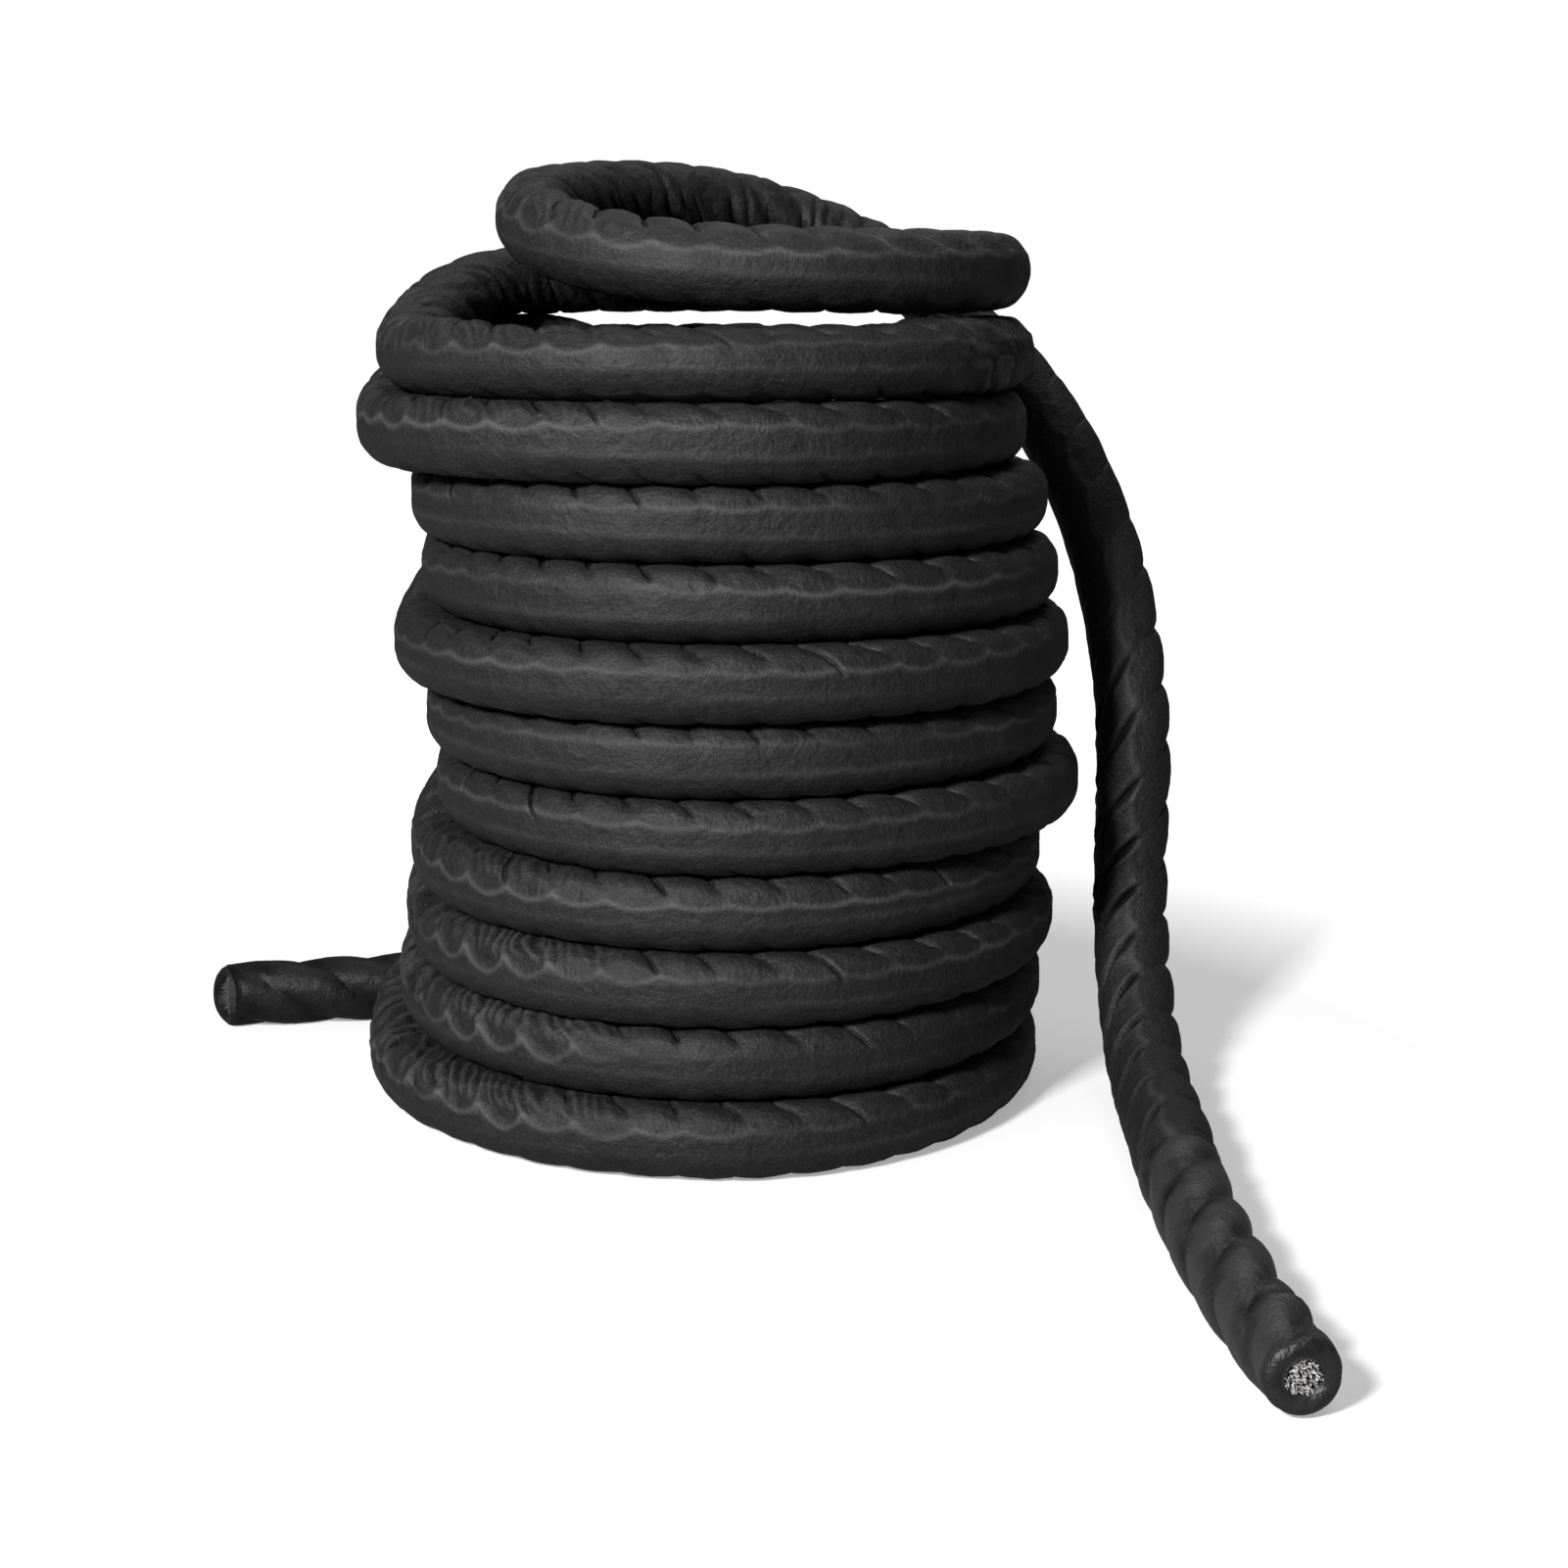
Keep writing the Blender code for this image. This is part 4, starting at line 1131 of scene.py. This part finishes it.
# Cut fibres that show in the tube's opening
fibreEnds = {
    "frontCount": 210,
    "backCount": 400,
    "frontSpread": 0.0074,
    "backSpread": 0.0108,
    "depth": 0.0075,
    "proud": 0.0006,
    "thickness": 0.00042,
    "thicknessShares": (0.7, 1.6),
    "lengthShares": (0.62, 1.05),
    "edgeShort": 0.22,
    "stray": 0.15,
    "lean": 0.22,
    "outwardLean": 0.25,
    "bow": 0.10,
    "tip": 0.42,  # a tuft's width at its tip, as a share of its root
    "bend": 0.55,  # where a tuft gets its second ring
    "seed": 12,
}


def makeFibreEnds(end, material):
    # one tuft is shaped once, then copied over the opening with its own lean, length and tone
    deselectAll()
    bpy.ops.mesh.primitive_cone_add(vertices=6, radius1=1.0, radius2=fibreEnds["tip"], depth=1.0,
                                    location=(0, 0, 0.5))
    tuft = bpy.context.object
    bpy.ops.object.transform_apply(location=True, rotation=True, scale=True)
    bpy.ops.object.mode_set(mode="EDIT")
    bpy.ops.mesh.select_all(action="SELECT")
    bpy.ops.mesh.bisect(plane_co=(0, 0, fibreEnds["bend"]), plane_no=(0, 0, 1))
    bpy.ops.object.mode_set(mode="OBJECT")
    shape = meshPoints(tuft)
    faces = [tuple(face.vertices) for face in tuft.data.polygons]
    bpy.data.objects.remove(tuft)
    chance = np.random.default_rng(fibreEnds["seed"] + (end == "back"))
    goldenAngle = 2.39996  # spreads the fibres evenly over the opening
    verts, polygons, tones = [], [], []
    fibreCount, spread = fibreEnds[end + "Count"], fibreEnds[end + "Spread"]
    for number in range(fibreCount):
        reach = spread * math.sqrt((number + 0.5) / fibreCount)
        azimuth = number * goldenAngle + chance.normal(0, fibreEnds["stray"])
        outward = np.array((math.cos(azimuth), math.sin(azimuth)))
        lean = chance.normal(0, fibreEnds["lean"], 2) + fibreEnds["outwardLean"] * reach / spread * outward
        width = fibreEnds["thickness"] * chance.uniform(*fibreEnds["thicknessShares"])
        length = fibreEnds["depth"] * chance.uniform(*fibreEnds["lengthShares"])
        length *= 1 - fibreEnds["edgeShort"] * (reach / spread) ** 2
        bow = chance.normal(0, fibreEnds["bow"], 2)
        points = shape * (width, width, 1)
        rise = shape[:, 2:]
        points[:, :2] += reach * outward + length * (lean * rise + bow * rise ** 2) * 0.5
        points[:, 2:] = fibreEnds["depth"] - fibreEnds["proud"] - rise * length
        first = number * len(shape)
        verts.append(points)
        polygons += [tuple(first + corner for corner in face[::-1]) for face in faces]
        tones += [chance.uniform(0, 1)] * len(shape)
    piece = newMesh(end + "FibreEnds", np.concatenate(verts).tolist(), polygons)
    addAttribute(piece, "tone", tones)
    setMeshPoints(piece, onHandle(end, meshPoints(piece), lambda *given: 0.0))
    piece.data.shade_smooth()
    piece.data.materials.append(material)
    return piece


# The three twisted strands inside each handle
strand = {
    "radius": 0.0060,
    "helixRadius": 0.0072,
    "start": 0.0062,
    "end": 0.246,
    "sides": 30,
    "step": 0.0024,
    "yarns": 9,
    "yarnRise": 0.00035,
    "yarnLay": 0.034,
    "yarnLevel": 0.7,
    "fit": 0.97,  # share of the tube's own taper
    "pressShare": 0.04,
}


def makeStrand(end, number, material):
    rows = int((strand["end"] - strand["start"]) / strand["step"])
    profile = [(strand["start"] + (strand["end"] - strand["start"]) * row / rows, strand["radius"])
               for row in range(rows + 1)]
    piece = turnedTube(f"{end}Strand{number}", profile, strand["sides"])
    bpy.ops.object.mode_set(mode="EDIT")
    bpy.ops.mesh.select_all(action="SELECT")
    bpy.ops.mesh.region_to_loop()
    bpy.ops.mesh.edge_face_add()
    bpy.ops.object.mode_set(mode="OBJECT")
    points = meshPoints(piece)
    distance = points[:, 2]
    angle = np.arctan2(points[:, 1], points[:, 0])
    radius = np.hypot(points[:, 0], points[:, 1])
    yarn = np.abs(np.cos(strand["yarns"] / 2 * (angle + 2 * math.pi * distance / strand["yarnLay"])))
    radius = radius + strand["yarnRise"] * (yarn - strand["yarnLevel"])
    along, centre, side, up, _ = handleRows(end, distance)
    place = 2 * math.pi * (lineAt(layCount, along) + number / sleeve["strands"])
    press = 1.0
    if end == "back":
        press = 1 - strand["pressShare"] * zone(distance, *shrinkTube["pressRun"])
    share = handleShare(end, distance) * strand["fit"]
    across = (strand["helixRadius"] * np.cos(place) + radius * np.cos(angle)) * share
    upward = (strand["helixRadius"] * np.sin(place) + radius * np.sin(angle)) * press * share
    setMeshPoints(piece, centre + side * across[:, None] + up * upward[:, None])
    piece.data.shade_smooth()
    piece.data.materials.append(material)
    return piece


# Heat-shrink plastic: the same film on both ends; the back copy is darker and less glossy, painted shade on
# the back handle
plastic = {
    "front": {"name": "shrinkPlastic", "gloss": 0.60,
              "dark": (0.0032, 0.0032, 0.0034, 1), "light": (0.0390, 0.0390, 0.0403, 1)},
    # a darker, less glossy copy of the same film: painted shade on the back handle
    "back": {"name": "shadedShrinkPlastic", "gloss": 0.20,
             "dark": (0.0040, 0.0040, 0.0043, 1), "light": (0.0150, 0.0150, 0.0156, 1)},
    "toneEdges": (0.3, 1.0),
    "roughness": (0.32, 0.60),
    "cloudScale": 90.0,
    "grainScale": 700.0,
    "dimpleScale": 120.0,
    "dimpleHeight": 3.0,
    # crests lightened: rub with painted highlight
    "crestRubAndHighlight": 0.62,
    "bumpStrength": 0.6,
    "bumpDepth": 0.0007,
}


def makeShrinkPlastic(finish):
    material, tree, shader = makeMaterial(finish["name"])
    place = addNode(tree, "TexCoord").outputs["Object"]
    crest = addNode(tree, "Attribute", attribute_name="crest").outputs["Fac"]
    cloud = addNoise(tree, place, plastic["cloudScale"], 6.0)
    grain = addNoise(tree, place, plastic["grainScale"], 3.0)
    dimple = addNoise(tree, place, plastic["dimpleScale"], 3.0)
    # paler along the strands: partly rub from hands, partly painted highlight on the crests, painted shade in
    # the grooves
    rubbedAndHighlitCrests = addMath(tree, "MULTIPLY_ADD", addMath(tree, "MULTIPLY", crest, crest), plastic["crestRubAndHighlight"], cloud)
    uneven = addMath(tree, "MULTIPLY_ADD", dimple, plastic["dimpleHeight"], grain)
    setSockets(tree, shader, {
        "Base Color": addRamp(tree, rubbedAndHighlitCrests, plastic["toneEdges"], finish["dark"], finish["light"]),
        "Roughness": addRange(tree, cloud, (0.0, 1.0), plastic["roughness"]),
        "Specular IOR Level": finish["gloss"],
        "Normal": addBump(tree, uneven, plastic["bumpStrength"], plastic["bumpDepth"]),
    })
    return material


# Pale polyester fibre: inside the rope, at its clean front cut, and darker at its back cut
fibre = {
    "strand": {"name": "strandFibre", "dark": (0.10, 0.098, 0.095, 1), "light": (0.34, 0.335, 0.325, 1)},
    "front": {"name": "cutFibre", "dark": (0.12, 0.118, 0.115, 1), "light": (0.74, 0.73, 0.71, 1)},
    "back": {"name": "darkerBackFibre", "dark": (0.018, 0.018, 0.017, 1), "light": (0.12, 0.118, 0.114, 1)},
    "toneEdges": (0.15, 0.85),
    "toneShare": 0.55,
    "speckShare": 0.6,
    "speckScale": 420.0,
    "roughness": 0.8,
    "bumpStrength": 0.4,
    "bumpDepth": 0.0003,
}


def makeFibre(finish):
    material, tree, shader = makeMaterial(finish["name"])
    place = addNode(tree, "TexCoord").outputs["Object"]
    tone = addNode(tree, "Attribute", attribute_name="tone").outputs["Fac"]
    speck = addNoise(tree, place, fibre["speckScale"], 2.0)
    specked = addMath(tree, "MULTIPLY", speck, fibre["speckShare"])
    both = addMath(tree, "MULTIPLY_ADD", tone, fibre["toneShare"], specked)
    setSockets(tree, shader, {
        "Base Color": addRamp(tree, both, fibre["toneEdges"], finish["dark"], finish["light"]),
        "Roughness": fibre["roughness"],
        "Normal": addBump(tree, speck, fibre["bumpStrength"], fibre["bumpDepth"]),
    })
    return material


# Cotton tape soaked with black gum: fine crossed threads, gum smeared over them
tapeFinish = {
    "dark": (0.010, 0.010, 0.011, 1),
    "light": (0.034, 0.033, 0.032, 1),
    "toneEdges": (0.35, 0.72),
    "roughness": (0.50, 0.86),
    "threadScale": 330.0,
    "threadStray": 1.2,
    "gumScale": 140.0,
    "bumpStrength": 0.5,
    "bumpDepth": 0.0004,
}


def makeFrictionTape():
    material, tree, shader = makeMaterial("frictionTape")
    place = addNode(tree, "TexCoord").outputs["Object"]
    threads = [addNode(tree, "TexWave", {"Vector": place, "Scale": tapeFinish["threadScale"],
                                         "Distortion": tapeFinish["threadStray"]},
                       bands_direction=direction).outputs["Fac"] for direction in ("X", "Z")]
    gum = addNoise(tree, place, tapeFinish["gumScale"], 5.0)
    setSockets(tree, shader, {
        "Base Color": addRamp(tree, gum, tapeFinish["toneEdges"], tapeFinish["dark"], tapeFinish["light"]),
        "Roughness": addRange(tree, gum, (0.0, 1.0), tapeFinish["roughness"]),
        "Normal": addBump(tree, addMath(tree, "MAXIMUM", *threads), tapeFinish["bumpStrength"],
                          tapeFinish["bumpDepth"]),
    })
    return material


frictionTape = makeFrictionTape()
strandFibre = makeFibre(fibre["strand"])

for end in ("front", "back"):
    tube = makeShrinkTube(end, makeShrinkPlastic(plastic[end]))
    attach(tube, end + "_handle")
    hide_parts(end + "_shrink")
    fibres = makeFibreEnds(end, makeFibre(fibre[end]))
    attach(fibres, end + "_handle")
    for number in (1, 2, 3):
        piece = makeStrand(end, number, strandFibre)
        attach(piece, end + "_handle")
        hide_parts(f"{end}_strand_{number}")
    tape = bpy.data.objects[end + "_end_tape"]
    tape.data.materials.clear()
    tape.data.materials.append(frictionTape)
    print(end, "handle done")

# The camera that the photograph was fitted with: metres from the coil's axis, degrees, mm
photoView = {
    "side": 0.030,
    "back": 1.15,
    "height": 0.403,
    "down": 12.3,
    "lens": 52.0,
    "sensor": 36,
}


def addCamera():
    data = bpy.data.cameras.new("camera")
    data.sensor_width = photoView["sensor"]
    data.lens = photoView["lens"]
    camera = bpy.data.objects.new("camera", data)
    camera.location = (rope["coilX"] + photoView["side"], rope["coilY"] - photoView["back"],
                       photoView["height"])
    camera.rotation_euler = (math.radians(90 - photoView["down"]), 0, 0)
    bpy.context.scene.collection.objects.link(camera)
    bpy.context.scene.camera = camera


addCamera()

# How the sleeve is cut into pieces: metres along the rope
cuts = {
    "tuck": 0.012,  # under each handle's mouth
    "lead": 0.24,  # past the back handle
    "coilPieces": 7,
    "aboveSwing": 0.24,
    "swingReach": 0.045,
    "handlePivot": 0.26,  # from each cut end
    "handleReach": 0.035,
    "pathStep": 0.02,
}


def sleeveStretches():
    # name, start, end, body or bodies, and the CAD nodes that the stretch stands for
    leadStart, leadEnd = shrinkTube["backLength"] - cuts["tuck"], shrinkTube["backLength"] + cuts["lead"]
    coilSpan = (marks["coilEnd"] - leadEnd) / cuts["coilPieces"]
    swingStart, swingEnd = marks["swing"] - cuts["aboveSwing"], marks["swing"] + cuts["swingReach"]
    tailEnd = marks["length"] - shrinkTube["frontLength"] + cuts["tuck"]
    coil, top, hanging, floor = [(part + "_sleeve", part + "_core")
                                 for part in ("coil", "top_turn", "hanging_tail", "floor_tail")]
    stretches = [("coil_lead", leadStart, leadEnd, ("back_handle", "coil"), ("back_sleeve_cuff",) + coil)]
    stretches += [(f"coil_turns_{number + 1}", leadEnd + number * coilSpan, leadEnd + (number + 1) * coilSpan,
                   ("coil",), coil) for number in range(cuts["coilPieces"])]
    return stretches + [
        ("top_turn", marks["coilEnd"], swingStart, ("coil",), top + hanging),
        ("swinging_tail", swingStart, swingEnd, ("coil", "floor_tail"), hanging + floor),
        ("floor_tail", swingEnd, tailEnd, ("floor_tail", "front_handle"), floor + ("front_sleeve_cuff",)),
    ]


# Hinge places along the rope, and how far to each side the sleeve bends there
hinges = {
    ("back_handle", "coil"): (cuts["handlePivot"], cuts["handleReach"]),
    ("coil", "floor_tail"): (marks["swing"], cuts["swingReach"]),
    ("floor_tail", "front_handle"): (marks["length"] - cuts["handlePivot"], cuts["handleReach"]),
}
for name, start, end, bodies, replaced in sleeveStretches():
    piece = makeSleevePiece(name, start, end, sleeveCloth)
    if bodies in hinges:
        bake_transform(piece)
    else:
        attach(piece, bodies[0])
    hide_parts(*replaced)
    print("rope stretch:", name, len(piece.data.polygons), "faces")

# Floor, background and lights: metres and degrees; azimuth 0 is the camera's side, positive to the right
stage = {
    "floorReach": 12.0,
    "litFloor": (0.32, 0.32, 0.32, 1),  # what the rope gets back from the floor
    "seenFloor": (0.92, 0.92, 0.92, 1),
    "floorRoughness": 0.9,
    "floorGloss": 0.1,
    "glowRun": (0.42, 0.66),  # the floor's own white grows over this distance from the origin
    "glow": (0.35, 1.0),
    "coilRun": (0.134, 0.152),  # no glow inside the coil
    "fill": 0.09,
    "targetHeight": 0.22,
    "lights": {
        "keyLight": {"azimuth": -29, "elevation": 29, "distance": 2.2, "size": 0.34, "power": 58},
        "topLight": {"azimuth": 160, "elevation": 62, "distance": 2.6, "size": 1.6, "power": 13},
    },
}


def whiteRays(tree):
    # 1 for camera, transmission and sharp glossy rays, so the background never lights the satin cloth
    path = addNode(tree, "LightPath").outputs
    sharp = addMath(tree, "MULTIPLY", path["Is Glossy Ray"], path["Is Singular Ray"])
    seen = addMath(tree, "MAXIMUM", path["Is Camera Ray"], sharp)
    return addMath(tree, "MAXIMUM", seen, path["Is Transmission Ray"])


def addFloor():
    reach = stage["floorReach"]
    floor = newMesh("floor", [(-reach, -reach, 0), (reach, -reach, 0), (reach, reach, 0), (-reach, reach, 0)],
                    [(0, 1, 2, 3)])
    material, tree, shader = makeMaterial("paleFloor")
    rays = whiteRays(tree)
    place = addNode(tree, "TexCoord").outputs["Object"]
    far = addNode(tree, "VectorMath", {0: place}, operation="LENGTH").outputs["Value"]
    axis = (rope["coilX"], rope["coilY"], 0)
    fromAxis = addNode(tree, "VectorMath", {0: place, 1: axis}, operation="DISTANCE").outputs["Value"]
    glow = addMath(tree, "MULTIPLY", addRange(tree, far, stage["glowRun"], stage["glow"]),
                   addRange(tree, fromAxis, stage["coilRun"], (0.0, 1.0)))
    white = addNode(tree, "Emission", {"Strength": addMath(tree, "MULTIPLY", rays, glow)})
    setSockets(tree, shader, {
        "Base Color": addColourMix(tree, rays, stage["litFloor"], stage["seenFloor"]),
        "Roughness": stage["floorRoughness"],
        "Specular IOR Level": stage["floorGloss"],
    })
    both = addNode(tree, "AddShader", {0: shader.outputs["BSDF"], 1: white.outputs["Emission"]})
    setSockets(tree, tree.nodes["Material Output"], {"Surface": both.outputs["Shader"]})
    floor.data.materials.append(material)


def addWorld():
    world = bpy.data.worlds.new("world")
    world.use_nodes = True
    bpy.context.scene.world = world
    tree = world.node_tree
    shade = tree.nodes["Background"]
    setSockets(tree, shade, {"Color": (1, 1, 1, 1), "Strength": stage["fill"]})
    white = addNode(tree, "Background", {"Color": (1, 1, 1, 1), "Strength": 1.0})
    mix = addNode(tree, "MixShader", {"Fac": whiteRays(tree), 1: shade.outputs["Background"],
                                      2: white.outputs["Background"]})
    setSockets(tree, tree.nodes["World Output"], {"Surface": mix.outputs["Shader"]})


def addLight(name, azimuth, elevation, distance, size, power):
    data = bpy.data.lights.new(name, "AREA")
    data.size = size
    data.energy = power
    light = bpy.data.objects.new(name, data)
    turn, tilt = math.radians(azimuth), math.radians(elevation)
    target = Vector((rope["coilX"], rope["coilY"], stage["targetHeight"]))
    away = Vector((math.sin(turn) * math.cos(tilt), -math.cos(turn) * math.cos(tilt), math.sin(tilt)))
    light.location = target + away * distance
    light.rotation_euler = (-away).to_track_quat("-Z", "Y").to_euler()
    bpy.context.scene.collection.objects.link(light)


addFloor()
addWorld()
for name, setting in stage["lights"].items():
    addLight(name, **setting)
bpy.context.scene.view_settings.view_transform = "Standard"
print("stage and lights done")
